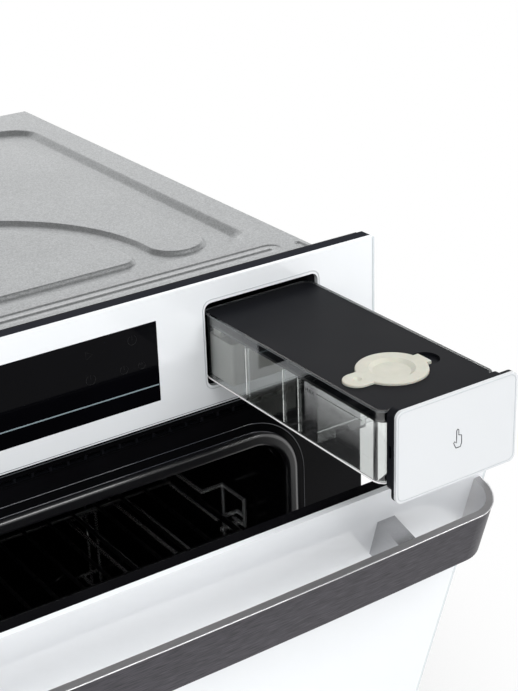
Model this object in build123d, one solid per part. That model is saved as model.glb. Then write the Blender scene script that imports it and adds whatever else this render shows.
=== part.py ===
from build123d import *
import math
import os

# Built-in combi oven with a pull-out water tank, in millimetres.
# X runs to the right, Y to the back and Z up.
# The origin is the centre of the base plate's underside.

# Outside sizes
FRONT_WIDTH = 595.0
HEIGHT = 595.0
HOUSING_INSET = 22.5
HOUSING_DEPTH = 540.0
TOP_DROP = 16.0
SHEET = 1.0
FIT = 0.3

# Control panel
PANEL_HEIGHT = 100.0
PANEL_DEPTH = 14.5
GLASS = 4.0
CARRIER_WALL = 2.4
DISPLAY_WIDTH = 199.0
DISPLAY_HEIGHT = 63.4
DISPLAY_SEAM = 0.1
BOARD = 1.6
BOARD_WAY = 40.0
OPENING_WIDTH = 102.4
OPENING_HEIGHT = 66.8
OPENING_RADIUS = 6.0
OPENING_SIDE = 106.0
WINDOW_LAP = 4.8
CHIP_PLACES = (-70.0, -20.0, 45.0)
CHIP = 14.0
CHIP_RISE = 3.0

# Front frame
FRAME_DEPTH = 6.0
FRAME_SHEET = 1.2
FRAME_INSET = 2.3
FRAME_STEP = 0.9
RING_RISE = 0.8
LAND_SIDE = 34.0
LAND_BOTTOM = 30.0
VENT_DROP = 15.0
VENT_HEIGHT = 4.5
VENT_SIDE = 45.0
VENT_BARS = 32
VENT_BAR = 2.2
CABINET_HOLE = 2.25
CABINET_HOLE_INSET = 9.5
CABINET_HOLE_LOW = 130.0
CABINET_HOLE_DROP = 43.0

# Cavity
CAVITY_SIDE = 56.5
CAVITY_FLOOR = 93.0
REAR_SPACE = 130.6
CAVITY_RADIUS = 32.0
CAVITY_BACK_RADIUS = 14.0
ENAMEL = 0.8
LINER_FLANGE = 10.0
RING_MARGIN = 17.0
GASKET_OUT = 9.0
GASKET_IN = 2.0
GASKET_RISE = 4.2
INSULATION = 22.0

# Fan, heaters, lamp and steam inlet
FAN_RADIUS = 72.0
FAN_DEPTH = 18.0
FAN_BLADES = 12
FAN_BLADE = 1.6
FAN_LEAN = 28
FAN_SHEET = 1.2
FAN_HUB = 5.0
FAN_GAP = 4.0
FAN_Z_DROP = 6.0
SHAFT = 4.0
SHAFT_REACH = 8.0
RING_HEATER_RADIUS = 92.0
RING_HEATER_GAP = 14.0
HEATER_TUBE = 3.2
COVER_SIDE = 68.5
COVER_EDGE = 35.0
COVER_DEPTH = 32.0
COVER_SLOTS = 16
COVER_SLOT = 7.0
COVER_RADIUS = 18.0
MOTOR_RADIUS = 32.0
MOTOR_LENGTH = 46.0
MOTOR_PLATE = 120.0
MOTOR_PLATE_HEIGHT = 90.0
MOTOR_BOSS = 10.0
MOTOR_BOSS_LENGTH = 6.0
GRILL_PASSES = 4
GRILL_SIDE = 68.5
GRILL_FRONT = 55.0
GRILL_REAR = 38.0
GRILL_DROP = 18.0
GRILL_STRIP = 8.0
GRILL_STRIP_PLACE = 55.0
GRILL_STRIP_LAP = 12.0
LAMP_RADIUS = 21.0
LAMP_DEPTH = 20.0
LAMP_RIM = 3.0
LAMP_LENS = 4.0
LAMP_WALL = 4.0
LAMP_TAIL = 20.0
LAMP_TAIL_RADIUS = 9.0
LAMP_GAP = 7.0
LAMP_DROP = 60.0
INLET_RADIUS = 5.0
INLET_WALL = 1.5
INLET_RIM = 4.0
INLET_REACH = 8.0
INLET_BEHIND = 14.0
PROBE_LENGTH = 30.0
PROBE_RADIUS = 2.0

# Side racks and shelf
RACK_WIRE = 1.9
RACK_POST = 1.7
RACK_GAP = 3.6
RACK_JOG = 21.0
RACK_LEVELS = 4
RACK_LOW = 37.0
RACK_HEADROOM = 101.5
RACK_PAIR = 16.0
RACK_FRONT = 55.5
RACK_REAR = 12.0
RACK_UPPER_JOG = 33.5
RACK_LOWER_JOG = 11.5
STUD_RADIUS = 2.0
STUD_BEHIND = 12.0
STUD_DROP = 12.8
STUD_NUT = 3.3
STUD_NUT_LENGTH = 6.0
STUD_HEAD = 2.7
STUD_HEAD_LENGTH = 4.0
STUD_NECK = 4.5
HOOK_PAST = 6.0
SHELF_WIRE = 2.4
SHELF_BAR = 1.5
SHELF_FORWARD = 26.0
SHELF_BACK = 6.0
SHELF_PITCH = 23.5

# Door
DOOR_OPEN = 17.2
DOOR_GAP = 3.0
DOOR_SIDE = 0.5
DOOR_BOTTOM = 10.0
DOOR_RIM = 12.2
DOOR_BACK = 9.2
DOOR_TRIM = 20.0
DOOR_TRAY_INSET = 4.5
DOOR_PANEL = 1.2
PLUG_CLEAR = 9.5
PLUG_DEPTH = 20.0
PANE = 4.0
SPACER_WIDTH = 8.0
HINGE_DEPTH = 8.0
HINGE_Z = 12.0
HINGE_SIDE = 67.5
HINGE_PIN = 2.0
HINGE_EYE = 3.7
HINGE_PIN_FIT = 0.05
HINGE_ARM = 5.4
HINGE_ARM_HEIGHT = 46.0
HINGE_PLATE_WIDTH = 28.0
HINGE_PLATE_HEIGHT = 24.0
HINGE_PLATE = 2.0
HINGE_FOOT = 1.2
HINGE_EAR = 3.0
HANDLE_DROP = 25.0
HANDLE_HEIGHT = 46.0
HANDLE_THICK = 5.5
HANDLE_STAND = 37.0
HANDLE_BOW = 3.2
HANDLE_END = 6.0
HANDLE_RADIUS = 28.0
STRUT_SIDE = 93.5
STRUT_WIDTH = 15.6
STRUT_DROP = 6.7
SCREW = 2.0
SCREW_HEAD = 4.0
SCREW_LENGTH = 11.0
SCREW_HEAD_RISE = 2.5

# Water tank drawer
TANK_HELD = 9.0
FRONT_GAP = 0.5
FRONT_RADIUS = 5.0
DRAWER_GLASS = 2.2
BACKING = 2.8
BLOCK_DEPTH = 9.0
BLOCK_INSET = 3.5
TANK_SIDE_GAP = 2.2
TANK_LOW_GAP = 5.8
TANK_HIGH_GAP = 7.9
TANK_LENGTH = 213.0
TANK_FRONT = 17.5
TANK_WALL = 1.6
TANK_RADIUS = 8.0
TANK_RIB = 1.2
TANK_RIB_PLACES = (91.0, 109.0, 155.0)
BAFFLE = 1.6
BAFFLE_BEHIND = 70.0
BAFFLE_FOOT = 12.0
BAFFLE_NOTCH = 12.0
BAFFLE_NOTCH_PITCH = 26.0
VALVE_DEPTH = 31.0
VALVE_HEIGHT = 33.0
VALVE_RISER = 10.0
VALVE_BORE = 14.0
GRIP_DEPTH = 4.0
GRIP_HEIGHT = 9.0
NECK_LOW = 8.0
NECK_HIGH = 10.0
LID_PLATE = 3.4
LID_SKIRT = 7.0
LID_SEAL = 2.0
CAP_RADIUS = 25.0
CAP_BEHIND = 47.0
CAP_LEFT = 2.5
CAP_THICK = 3.0
CAP_RECESS = 1.4
CAP_DISH = 16.0
CAP_DISH_DEPTH = 2.2
CAP_PLUG = 15.5
CAP_PLUG_DEPTH = 4.0
CAP_RING = 1.6
CAP_WEB = 0.8
CAP_DIMPLE = 4.5
CAP_TAB = 29.5
CAP_TAB_RADIUS = 10.0
CAP_TONGUE = 28.3
CAP_TONGUE_WIDTH = 14.0
CAP_NOTCH = 10.5
CAP_NOTCH_DEPTH = 2.2
CAP_FIT = 0.4
PORT_RADIUS = 5.0
PORT_LENGTH = 6.0
PORT_LIFT = 3.0
PORT_WALL = 2.0
BAY_WALL = 1.6
BAY_CLEAR = 1.0
BAY_RIB = 2.0
BAY_RIB_WIDTH = 4.0
BAY_RIB_INSET = 8.0
BAY_END = 6.0
LATCH_TRAVEL = 4.0
LATCH_PIN = 3.0
LATCH_FIT = 0.06
LATCH_SIDE = 28.0
LATCH_DROP = 22.0
LATCH_BODY_WIDTH = 18.0
LATCH_BODY_HEIGHT = 14.0
LATCH_BODY_DEPTH = 26.0
LATCH_BORE = 18.0
BAY_FOOT = 12.0
BAY_FOOT_WIDTH = 8.0
BAY_FOOT_FRONT = 20.0
BAY_FOOT_BACK = 30.0
SOCKET_WALL = 2.0
SOCKET_LENGTH = 20.0
SOCKET_FLANGE = 6.0

# Compartment above the cavity
DUCT_HEIGHT = 27.0
DUCT_GAP = 1.9
DUCT_SIDE = 40.0
DUCT_LENGTH = 330.0
DUCT_FRONT = 6.0
BLOWER_BEHIND = 150.0
BLOWER_WALL = 1.6
BLOWER_GAP = 5.0
BLOWER_SHAFT = 3.0
BLOWER_MOTOR = 24.0
BLOWER_ARM = 6.0
BLOWER_ARM_RISE = 2.0
BLOWER_RADIUS = 48.0
BLOWER_HEIGHT = 38.0
BLOWER_X = -40.0
BLOWER_BLADES = 18
PUMP_RADIUS = 13.0
PUMP_LENGTH = 42.0
PUMP_BEHIND = 80.0
PUMP_LIFT = 3.0
PUMP_SPOUT = 8.0
PUMP_SPOUT_STEP = 0.5
BOILER_WIDTH = 74.0
BOILER_DEPTH = 60.0
BOILER_HEIGHT = 34.0
BOILER_X = 60.0
BOILER_RIBS = 6
BOILER_GROOVE = 6.0
BOARD_WIDTH = 130.0
BOARD_LENGTH = 170.0
BOARD_SIDE = 20.0
BOARD_FRONT = 60.0
BOARD_LIFT = 6.0
BOARD_POST = 4.0
BOARD_MARGIN = 8.0
COIL_WIDTH = 46.0
COIL_DEPTH = 40.0
COIL_HEIGHT = 34.0
RELAY_COUNT = 5
RELAY_WIDTH = 22.0
RELAY_DEPTH = 13.0
RELAY_HEIGHT = 16.0
RELAY_PITCH = 17.0
CAN_COUNT = 3
CAN_RADIUS = 9.0
CAN_HEIGHT = 24.0
CAN_PITCH = 34.0
HOSE = 3.5
HOSE_BEND = 12.0
HOSE_DIP = 8.0
TERMINAL_WIDTH = 66.0
TERMINAL_HEIGHT = 44.0
TERMINAL_DEPTH = 34.0
TERMINAL_SIDE = 90.0
TERMINAL_DROP = 52.0
TERMINAL_RECESS = 12.0
TERMINAL_MARGIN = 5.0
GLAND_RADIUS = 9.0
GLAND_BORE = 4.5

# Top cover pressing
FIELD_MARGIN = 24.0
FIELD_FRONT = 88.0
FIELD_BACK = 50.0
FIELD_RADIUS = 34.0
FIELD_DEPTH = 4.0
FIELD_SLOPE = 14.0
ARM_WIDTH = 52.0
DISC_CENTRE = 129.5
DISC_FRONT = 107.0
CHANNEL = 16.0
ISLAND_RISE = 3.0
ISLAND_MARGIN = 32.0
ISLAND_RADIUS = 14.0
FOOT_REACH = 24.0
BEAD_WIDTH = 9.0
BEAD_SIDE = 29.0
BEAD_RISE = 1.6
BEAD_PLACE = 64.0

# Places worked out from the sizes above
HOUSING_WIDTH = FRONT_WIDTH - 2 * HOUSING_INSET
HALF_WIDTH = HOUSING_WIDTH / 2
SEAT_Y = -HOUSING_DEPTH / 2
BACK_Y = HOUSING_DEPTH / 2
FRAME_Y = SEAT_Y - FRAME_DEPTH
FRONT_Y = FRAME_Y - PANEL_DEPTH
RING_Y = FRAME_Y - RING_RISE
WING_Y = FRAME_Y + FRAME_STEP
SHELL_Y = WING_Y + FRAME_SHEET
MOUTH_Y = RING_Y + FRAME_SHEET
PANEL_BOTTOM = HEIGHT - PANEL_HEIGHT
PANEL_Z = HEIGHT - PANEL_HEIGHT / 2
OPENING_X = FRONT_WIDTH / 2 - OPENING_SIDE
DUCT_FLOOR = PANEL_BOTTOM - DUCT_HEIGHT
DUCT_WIDTH = HOUSING_WIDTH - 2 * DUCT_SIDE
VENT_HIGH = PANEL_BOTTOM - VENT_DROP
VENT_LOW = VENT_HIGH - VENT_HEIGHT
VENT_WIDTH = HOUSING_WIDTH - 2 * VENT_SIDE
CABINET_HOLE_HIGH = PANEL_BOTTOM - CABINET_HOLE_DROP
CAVITY_WIDTH = HOUSING_WIDTH - 2 * CAVITY_SIDE
CAVITY_TOP = DUCT_FLOOR - DUCT_GAP - INSULATION - ENAMEL - FIT
CAVITY_HEIGHT = CAVITY_TOP - CAVITY_FLOOR
CAVITY_Z = CAVITY_FLOOR + CAVITY_HEIGHT / 2
CAVITY_BACK = BACK_Y - REAR_SPACE
LAND_WIDTH = CAVITY_WIDTH + 2 * LAND_SIDE
FAN_Z = CAVITY_Z - FAN_Z_DROP
COVER_WIDTH = CAVITY_WIDTH - 2 * COVER_SIDE
COVER_HEIGHT = CAVITY_HEIGHT - 2 * COVER_EDGE
COVER_Y = CAVITY_BACK - COVER_DEPTH
LAMP_X = -(COVER_WIDTH / 2 + LAMP_GAP + LAMP_RADIUS)
INLET_X = -LAMP_X
GRILL_WIDTH = CAVITY_WIDTH - 2 * GRILL_SIDE
GRILL_LENGTH = COVER_Y - GRILL_REAR - GRILL_FRONT - MOUTH_Y
RACK_TOP = CAVITY_TOP - RACK_HEADROOM
RACK_PITCH = (RACK_TOP - RACK_LOW - CAVITY_FLOOR) / (RACK_LEVELS - 1)
RACK_LENGTH = COVER_Y - RACK_REAR - RACK_FRONT - MOUTH_Y
HINGE_X = FRONT_WIDTH / 2 - HINGE_SIDE
STRUT_X = FRONT_WIDTH / 2 - STRUT_SIDE
HOUSING_TOP = HEIGHT - TOP_DROP
TRAY_TOP = PANEL_BOTTOM + SHEET
DOOR_TOP = PANEL_BOTTOM - DOOR_GAP
HINGE_Y = FRONT_Y + HINGE_DEPTH
DOOR_AXIS = Axis((0, HINGE_Y, HINGE_Z), (1, 0, 0))
TANK_WIDTH = OPENING_WIDTH - 2 * TANK_SIDE_GAP
TANK_BOTTOM = PANEL_Z - OPENING_HEIGHT / 2 + TANK_LOW_GAP
TANK_TOP = PANEL_Z + OPENING_HEIGHT / 2 - TANK_HIGH_GAP
TRAVEL = TANK_FRONT + TANK_LENGTH - TANK_HELD
TANK_Y = FRONT_Y - TRAVEL + TANK_FRONT
TANK_BACK = TANK_Y + TANK_LENGTH
CAP_X = OPENING_X - CAP_LEFT
CAP_Y = TANK_Y + CAP_BEHIND
LID_WIDTH = TANK_WIDTH - 2 * (TANK_WALL + FIT)
LID_LENGTH = TANK_LENGTH - 2 * (TANK_WALL + FIT)
LID_BOTTOM = TANK_TOP - LID_PLATE
LID_FOOT = TANK_TOP - LID_SKIRT
BAY_FLOOR = TANK_BOTTOM - FIT - BAY_RIB
BAY_INNER = TANK_WIDTH + 2 * BAY_CLEAR
BAY_TOP = HOUSING_TOP - FIELD_DEPTH - SHEET - 2 * FIT
BAY_BACK = TANK_BACK + TRAVEL + BAY_END
MOTOR_Y = CAVITY_BACK + ENAMEL + INSULATION + 2 * FIT
FIELD_WIDTH = HOUSING_WIDTH - 2 * FIELD_MARGIN
DISC_RADIUS = FIELD_WIDTH / 2 - ISLAND_MARGIN - ARM_WIDTH - CHANNEL


def block(x0, x1, y0, y1, z0, z1):
    """A box between two corners."""
    middle = Pos((x0 + x1) / 2, (y0 + y1) / 2, (z0 + z1) / 2)
    return middle * Box(x1 - x0, y1 - y0, z1 - z0)


def upright(width, height, radius, y0, y1, x=0.0, z=0.0):
    """A round-cornered plate that stands in the XZ plane, between y0 and y1."""
    plane = Plane(origin=(x, y1, z), x_dir=(1, 0, 0), z_dir=(0, -1, 0))
    return extrude(plane * RectangleRounded(width, height, radius), y1 - y0)


def flat(width, depth, radius, z0, z1, x=0.0, y=0.0):
    """A round-cornered plate that lies in the XY plane, between z0 and z1."""
    plane = Plane(origin=(x, y, z0))
    return extrude(plane * RectangleRounded(width, depth, radius), z1 - z0)


def rod(start, end, radius):
    """A straight round bar from one point to another."""
    line = Vector(*end) - Vector(*start)
    plane = Plane(origin=start, z_dir=line)
    return extrude(plane * Circle(radius), line.length)


def wire(points, radius, bend):
    """A round wire along straight runs with round bends."""
    path = FilletPolyline(*points, radius=bend)
    section = Plane(origin=path @ 0, z_dir=path % 0) * Circle(radius)
    return sweep(section, path=path)


def mitred(points, radius):
    """A round wire along straight runs with sharp bends."""
    path = Polyline(*points)
    section = Plane(origin=path @ 0, z_dir=path % 0) * Circle(radius)
    return sweep(section, path=path, transition=Transition.RIGHT)


def mirrored(shape):
    """The same shape on the other side of the middle plane."""
    return mirror(shape, Plane.YZ)


def at_rest(shape):
    """Turn a door piece from shut to where it stands in the rest pose."""
    return shape.rotate(DOOR_AXIS, DOOR_OPEN)


# Housing shells


def base_plate():
    """Folded base tray with air slots, which the oven rests on."""
    edge = 18.0
    x = HALF_WIDTH - SHEET - FIT
    tray = block(-x, x, SEAT_Y, BACK_Y - SHEET - FIT, 0, edge)
    tray -= block(-x + SHEET, x - SHEET, SEAT_Y - SHEET, BACK_Y - 2 * SHEET - FIT, SHEET, edge + SHEET)
    slot_length = 60.0
    slot_width = 6.0
    slot_pitch = 90.0
    for side in (-1, 1):
        for step in range(4):
            y = BACK_Y - slot_pitch * (step + 0.8)
            place = Pos(side * HALF_WIDTH * 0.55, y, 0)
            tray -= place * Box(slot_length, slot_width, 4 * SHEET)
    return tray


def side_panel(side):
    """Sheet side wall with a row of louvre slots and a top flange."""
    x = HALF_WIDTH
    flange = 12.0
    panel = block(x - SHEET, x, SEAT_Y, BACK_Y, 0, HOUSING_TOP - SHEET)
    panel += block(x - flange, x, SEAT_Y, BACK_Y, HOUSING_TOP - 2 * SHEET, HOUSING_TOP - SHEET)
    slot_length = 70.0
    slot_height = 4.0
    slot_pitch = 16.0
    for step in range(6):
        z = HOUSING_TOP - slot_pitch * (step + 2.5)
        slot = Pos(x, BACK_Y - slot_length, z) * Box(4 * SHEET, slot_length, slot_height)
        panel -= slot
    return panel if side > 0 else mirrored(panel)


def back_panel():
    """Rear sheet with an air field behind the motor and a cut-out for the terminals."""
    x = HALF_WIDTH - SHEET - FIT
    panel = block(-x, x, BACK_Y - SHEET, BACK_Y, SHEET, HOUSING_TOP - 2 * SHEET - FIT)
    slot_height = 5.0
    slot_pitch = 14.0
    for step in range(-4, 5):
        z = FAN_Z + step * slot_pitch
        half = math.sqrt((MOTOR_RADIUS * 2) ** 2 - (step * slot_pitch) ** 2)
        panel -= Pos(0, BACK_Y, z) * Box(2 * half, 4 * SHEET, slot_height)
    panel -= Pos(terminal_x(), BACK_Y, terminal_z()) * Box(TERMINAL_WIDTH, 4 * SHEET, TERMINAL_HEIGHT)
    return panel


def pressed(outline, depth, slope, z):
    """A pressing's form: an outline at height z that narrows downwards by a slope."""
    angle = math.degrees(math.atan2(slope, abs(depth)))
    return extrude(Plane(origin=(0, 0, z)) * outline, depth, taper=angle)


def horseshoe(outer, inner, low, high):
    """Face of an arch: straight outer sides, a round inner line and round feet."""
    corner = outer - ISLAND_RADIUS
    turn = ISLAND_RADIUS * (1 - math.sqrt(0.5))
    foot = (outer + inner) / 2
    lines = [Line((outer, low), (outer, high - ISLAND_RADIUS))]
    lines += [ThreePointArc((outer, high - ISLAND_RADIUS), (outer - turn, high - turn), (corner, high))]
    lines += [Line((corner, high), (-corner, high))]
    lines += [ThreePointArc((-corner, high), (-outer + turn, high - turn), (-outer, high - ISLAND_RADIUS))]
    lines += [Line((-outer, high - ISLAND_RADIUS), (-outer, low))]
    lines += [ThreePointArc((-outer, low), (-foot, low - FOOT_REACH), (-inner, low))]
    lines += [ThreePointArc((-inner, low), (0, low + inner), (inner, low))]
    lines += [ThreePointArc((inner, low), (foot, low - FOOT_REACH), (outer, low))]
    return make_face(Wire(lines))


def top_cover():
    """Galvanised top sheet, pressed with a sunken field, a disc and a horseshoe round it."""
    field_front = FRONT_Y + FIELD_FRONT
    field_back = BACK_Y - FIELD_BACK
    field_y = (field_front + field_back) / 2
    field = Pos(0, field_y) * RectangleRounded(FIELD_WIDTH, field_back - field_front, FIELD_RADIUS)
    sunk = pressed(field, -FIELD_DEPTH, FIELD_SLOPE, HOUSING_TOP)
    centre = FRONT_Y + DISC_CENTRE
    low = HOUSING_TOP - FIELD_DEPTH
    half = Pos(0, FRONT_Y + DISC_FRONT + 2 * DISC_RADIUS) * Rectangle(4 * DISC_RADIUS, 4 * DISC_RADIUS)
    disc = (Pos(0, centre) * Circle(DISC_RADIUS)) & half
    disc = fillet(disc.vertices(), ISLAND_RADIUS)
    outer = FIELD_WIDTH / 2 - ISLAND_MARGIN
    shoe = horseshoe(outer, DISC_RADIUS + CHANNEL, centre, field_back - ISLAND_MARGIN)
    form = block(-HALF_WIDTH, HALF_WIDTH, SHELL_Y, BACK_Y, low - 3 * SHEET, HOUSING_TOP)
    form -= sunk
    form += pressed(disc, ISLAND_RISE, ISLAND_RISE, low)
    form += pressed(shoe, ISLAND_RISE, ISLAND_RISE, low)
    bead = Pos(0, FRONT_Y + BEAD_PLACE) * SlotOverall(HOUSING_WIDTH - 2 * BEAD_SIDE, BEAD_WIDTH)
    form += pressed(bead, BEAD_RISE, BEAD_RISE, HOUSING_TOP)
    sheet = form - Pos(0, 0, -SHEET) * form
    sheet = sheet & block(-FRONT_WIDTH, FRONT_WIDTH, SHELL_Y, BACK_Y, low - SHEET, HEIGHT)
    return sheet


# Front


def control_glass():
    """White printed glass with the tank opening and the display window cut out."""
    glass = upright(FRONT_WIDTH, PANEL_HEIGHT, 1.5, FRONT_Y, FRONT_Y + GLASS, 0, PANEL_Z)
    glass -= upright(OPENING_WIDTH, OPENING_HEIGHT, OPENING_RADIUS, FRONT_Y - 1, FRAME_Y, OPENING_X, PANEL_Z)
    glass -= upright(DISPLAY_WIDTH, DISPLAY_HEIGHT, 0.5, FRONT_Y - 1, FRAME_Y, 0, PANEL_Z)
    return glass


def display_glass():
    """Dark display window, flush in the white glass."""
    width = DISPLAY_WIDTH - 2 * DISPLAY_SEAM
    height = DISPLAY_HEIGHT - 2 * DISPLAY_SEAM
    return upright(width, height, 0.5, FRONT_Y, FRONT_Y + GLASS, 0, PANEL_Z)


def panel_carrier():
    """Black moulded carrier: a skin behind the glass, a rim round it and a collar at the tank."""
    y0 = FRONT_Y + GLASS
    carrier = upright(FRONT_WIDTH, PANEL_HEIGHT, 1.5, y0, FRAME_Y, 0, PANEL_Z)
    inner_width = FRONT_WIDTH - 2 * CARRIER_WALL
    inner_height = PANEL_HEIGHT - 2 * CARRIER_WALL
    carrier -= upright(inner_width, inner_height, 1.0, y0 + CARRIER_WALL, FRAME_Y + 1, 0, PANEL_Z)
    collar_width = OPENING_WIDTH + 2 * CARRIER_WALL
    collar_height = OPENING_HEIGHT + 2 * CARRIER_WALL
    collar_radius = OPENING_RADIUS + CARRIER_WALL
    carrier += upright(collar_width, collar_height, collar_radius, y0, FRAME_Y, OPENING_X, PANEL_Z)
    carrier -= upright(OPENING_WIDTH, OPENING_HEIGHT, OPENING_RADIUS, y0 - 1, FRAME_Y + 1, OPENING_X, PANEL_Z)
    window_width = DISPLAY_WIDTH - 2 * WINDOW_LAP
    window_height = DISPLAY_HEIGHT - 2 * WINDOW_LAP
    carrier -= upright(window_width, window_height, 1.0, y0 - 1, y0 + 2 * CARRIER_WALL, 0, PANEL_Z)
    for x in (-DISPLAY_WIDTH, DISPLAY_WIDTH * 0.62):
        rib = block(x, x + CARRIER_WALL, y0 + CARRIER_WALL, FRAME_Y, PANEL_BOTTOM + 1, HEIGHT - 1)
        carrier += rib
    return carrier


def display_board():
    """Display board with its lit module, held behind the window."""
    y0 = FRONT_Y + GLASS + CARRIER_WALL
    width = DISPLAY_WIDTH
    module_width = DISPLAY_WIDTH - 2 * (WINDOW_LAP + SHEET)
    module_height = DISPLAY_HEIGHT - 2 * (WINDOW_LAP + SHEET)
    half_height = DISPLAY_HEIGHT / 2 - CARRIER_WALL
    board = block(-width / 2, width / 2, y0, y0 + BOARD, PANEL_Z - half_height, PANEL_Z + half_height)
    board += block(-module_width / 2, module_width / 2, y0 - CARRIER_WALL, y0,
                   PANEL_Z - module_height / 2, PANEL_Z + module_height / 2)
    for x in CHIP_PLACES:
        y1 = y0 + BOARD
        board += block(x, x + CHIP, y1, y1 + CHIP_RISE, PANEL_Z - CHIP / 2, PANEL_Z + CHIP / 2)
    return board


def front_frame():
    """Enamelled front frame: pressed levels, cavity mouth, vent, tank cut-out and cabinet holes."""
    half = FRONT_WIDTH / 2 - FRAME_INSET
    bottom = FRAME_INSET + 2
    top = HEIGHT - FRAME_INSET
    deep = SEAT_Y + FRAME_DEPTH
    land = LAND_WIDTH / 2
    form = block(-half, half, WING_Y, deep, bottom, top)
    form += block(-land, land, FRAME_Y, deep, LAND_BOTTOM, VENT_LOW - FRAME_SHEET)
    form += block(-half + 2, half - 2, FRAME_Y, deep, VENT_HIGH + FRAME_SHEET, top - 1)
    ring_width = CAVITY_WIDTH + 2 * RING_MARGIN
    ring_height = CAVITY_HEIGHT + 2 * RING_MARGIN
    form += upright(ring_width, ring_height, CAVITY_RADIUS + RING_MARGIN, RING_Y, deep, 0, CAVITY_Z)
    frame = form - Pos(0, FRAME_SHEET, 0) * form
    frame = frame & block(-half, half, RING_Y, SEAT_Y, bottom, top)
    rim = block(-half, half, WING_Y, SEAT_Y, bottom, top)
    rim -= block(-half + FRAME_SHEET, half - FRAME_SHEET, WING_Y - 1, SEAT_Y + 1,
                 bottom + FRAME_SHEET, top - FRAME_SHEET)
    frame += rim
    frame -= upright(CAVITY_WIDTH, CAVITY_HEIGHT, CAVITY_RADIUS, RING_Y - 1, SEAT_Y + 1, 0, CAVITY_Z)
    cut_width = OPENING_WIDTH + 4 * CARRIER_WALL
    cut_height = OPENING_HEIGHT + 2 * CARRIER_WALL
    frame -= upright(cut_width, cut_height, OPENING_RADIUS, RING_Y - 1, SEAT_Y + 1, OPENING_X, PANEL_Z)
    frame -= upright(DISPLAY_WIDTH, BOARD_WAY, CARRIER_WALL, RING_Y - 1, SEAT_Y + 1, 0, PANEL_Z)
    frame -= block(-VENT_WIDTH / 2, VENT_WIDTH / 2, RING_Y, SEAT_Y, VENT_LOW, VENT_HIGH)
    hole_x = FRONT_WIDTH / 2 - CABINET_HOLE_INSET
    for x in (-hole_x, hole_x):
        for z in (CABINET_HOLE_LOW, CABINET_HOLE_HIGH):
            frame -= rod((x, RING_Y - 1, z), (x, SEAT_Y + 1, z), CABINET_HOLE)
    return frame


def vent_grille():
    """Comb of thin bars that stands in the air slot under the panel."""
    y0 = SHELL_Y + FIT
    depth = 5.0
    edge = 3.0
    width = VENT_WIDTH + 2 * edge
    low = VENT_LOW - edge
    high = VENT_HIGH + edge
    grille = block(-width / 2, width / 2, y0, y0 + depth, low, high)
    pitch = VENT_WIDTH / VENT_BARS
    gap = pitch - VENT_BAR
    slit = Box(gap, 2 * depth, VENT_HIGH - VENT_LOW)
    for step in range(VENT_BARS):
        x = -VENT_WIDTH / 2 + pitch * (step + 0.5)
        grille -= Pos(x, y0 + depth / 2, (VENT_LOW + VENT_HIGH) / 2) * slit
    return grille


def door_gasket():
    """Round-faced silicone ring on the cavity mouth."""
    outer = (CAVITY_WIDTH + 2 * GASKET_OUT, CAVITY_HEIGHT + 2 * GASKET_OUT, CAVITY_RADIUS + GASKET_OUT)
    inner = (CAVITY_WIDTH - 2 * GASKET_IN, CAVITY_HEIGHT - 2 * GASKET_IN, CAVITY_RADIUS - GASKET_IN)
    crest = RING_Y - GASKET_RISE
    ring = upright(*outer, crest, RING_Y, 0, CAVITY_Z)
    ring -= upright(*inner, crest - 1, RING_Y + 1, 0, CAVITY_Z)
    front = ring.faces().sort_by(Axis.Y)[0]
    return fillet(front.edges(), GASKET_RISE * 0.8)


# Cavity


def cavity_solid(grow, y0, back):
    """The cavity's rounded form, grown by a wall, between y0 and the back."""
    width = CAVITY_WIDTH + 2 * grow
    height = CAVITY_HEIGHT + 2 * grow
    form = upright(width, height, CAVITY_RADIUS + grow, y0, back, 0, CAVITY_Z)
    edges = form.faces().sort_by(Axis.Y)[-1].edges()
    return fillet(edges, CAVITY_BACK_RADIUS + grow)


def cavity_liner():
    """Enamelled muffle: one drawn box with a front flange and holes in its back wall."""
    outer = cavity_solid(ENAMEL, MOUTH_Y, CAVITY_BACK + ENAMEL)
    width = CAVITY_WIDTH + 2 * LINER_FLANGE
    height = CAVITY_HEIGHT + 2 * LINER_FLANGE
    outer += upright(width, height, CAVITY_RADIUS + LINER_FLANGE, MOUTH_Y, MOUTH_Y + ENAMEL, 0, CAVITY_Z)
    inner = cavity_solid(0, MOUTH_Y - 1, CAVITY_BACK)
    liner = outer - inner
    for x, z, radius in back_holes():
        liner -= rod((x, CAVITY_BACK - 1, z), (x, CAVITY_BACK + 2, z), radius)
    return liner


def back_holes():
    """Places and radii of what passes through the back wall."""
    lamp_z = CAVITY_TOP - LAMP_DROP
    shaft = (0, FAN_Z, SHAFT + 3 * FIT)
    lamp = (LAMP_X, lamp_z, LAMP_RADIUS - LAMP_RIM)
    inlet = (INLET_X, lamp_z, INLET_RADIUS + FIT)
    return [shaft, lamp, inlet]


def insulation_wrap():
    """Mineral wool round the muffle, open at the front."""
    grow = ENAMEL + FIT
    outer_grow = grow + INSULATION
    front = MOUTH_Y + ENAMEL + FIT
    back = CAVITY_BACK + grow + INSULATION
    width = CAVITY_WIDTH + 2 * outer_grow
    height = CAVITY_HEIGHT + 2 * outer_grow
    wrap = upright(width, height, CAVITY_RADIUS, front, back, 0, CAVITY_Z)
    wrap -= cavity_solid(grow, front - 1, CAVITY_BACK + grow)
    for x, z, radius in back_holes():
        wrap -= rod((x, CAVITY_BACK, z), (x, back + 1, z), max(radius, LAMP_RADIUS + FIT))
    return wrap


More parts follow.
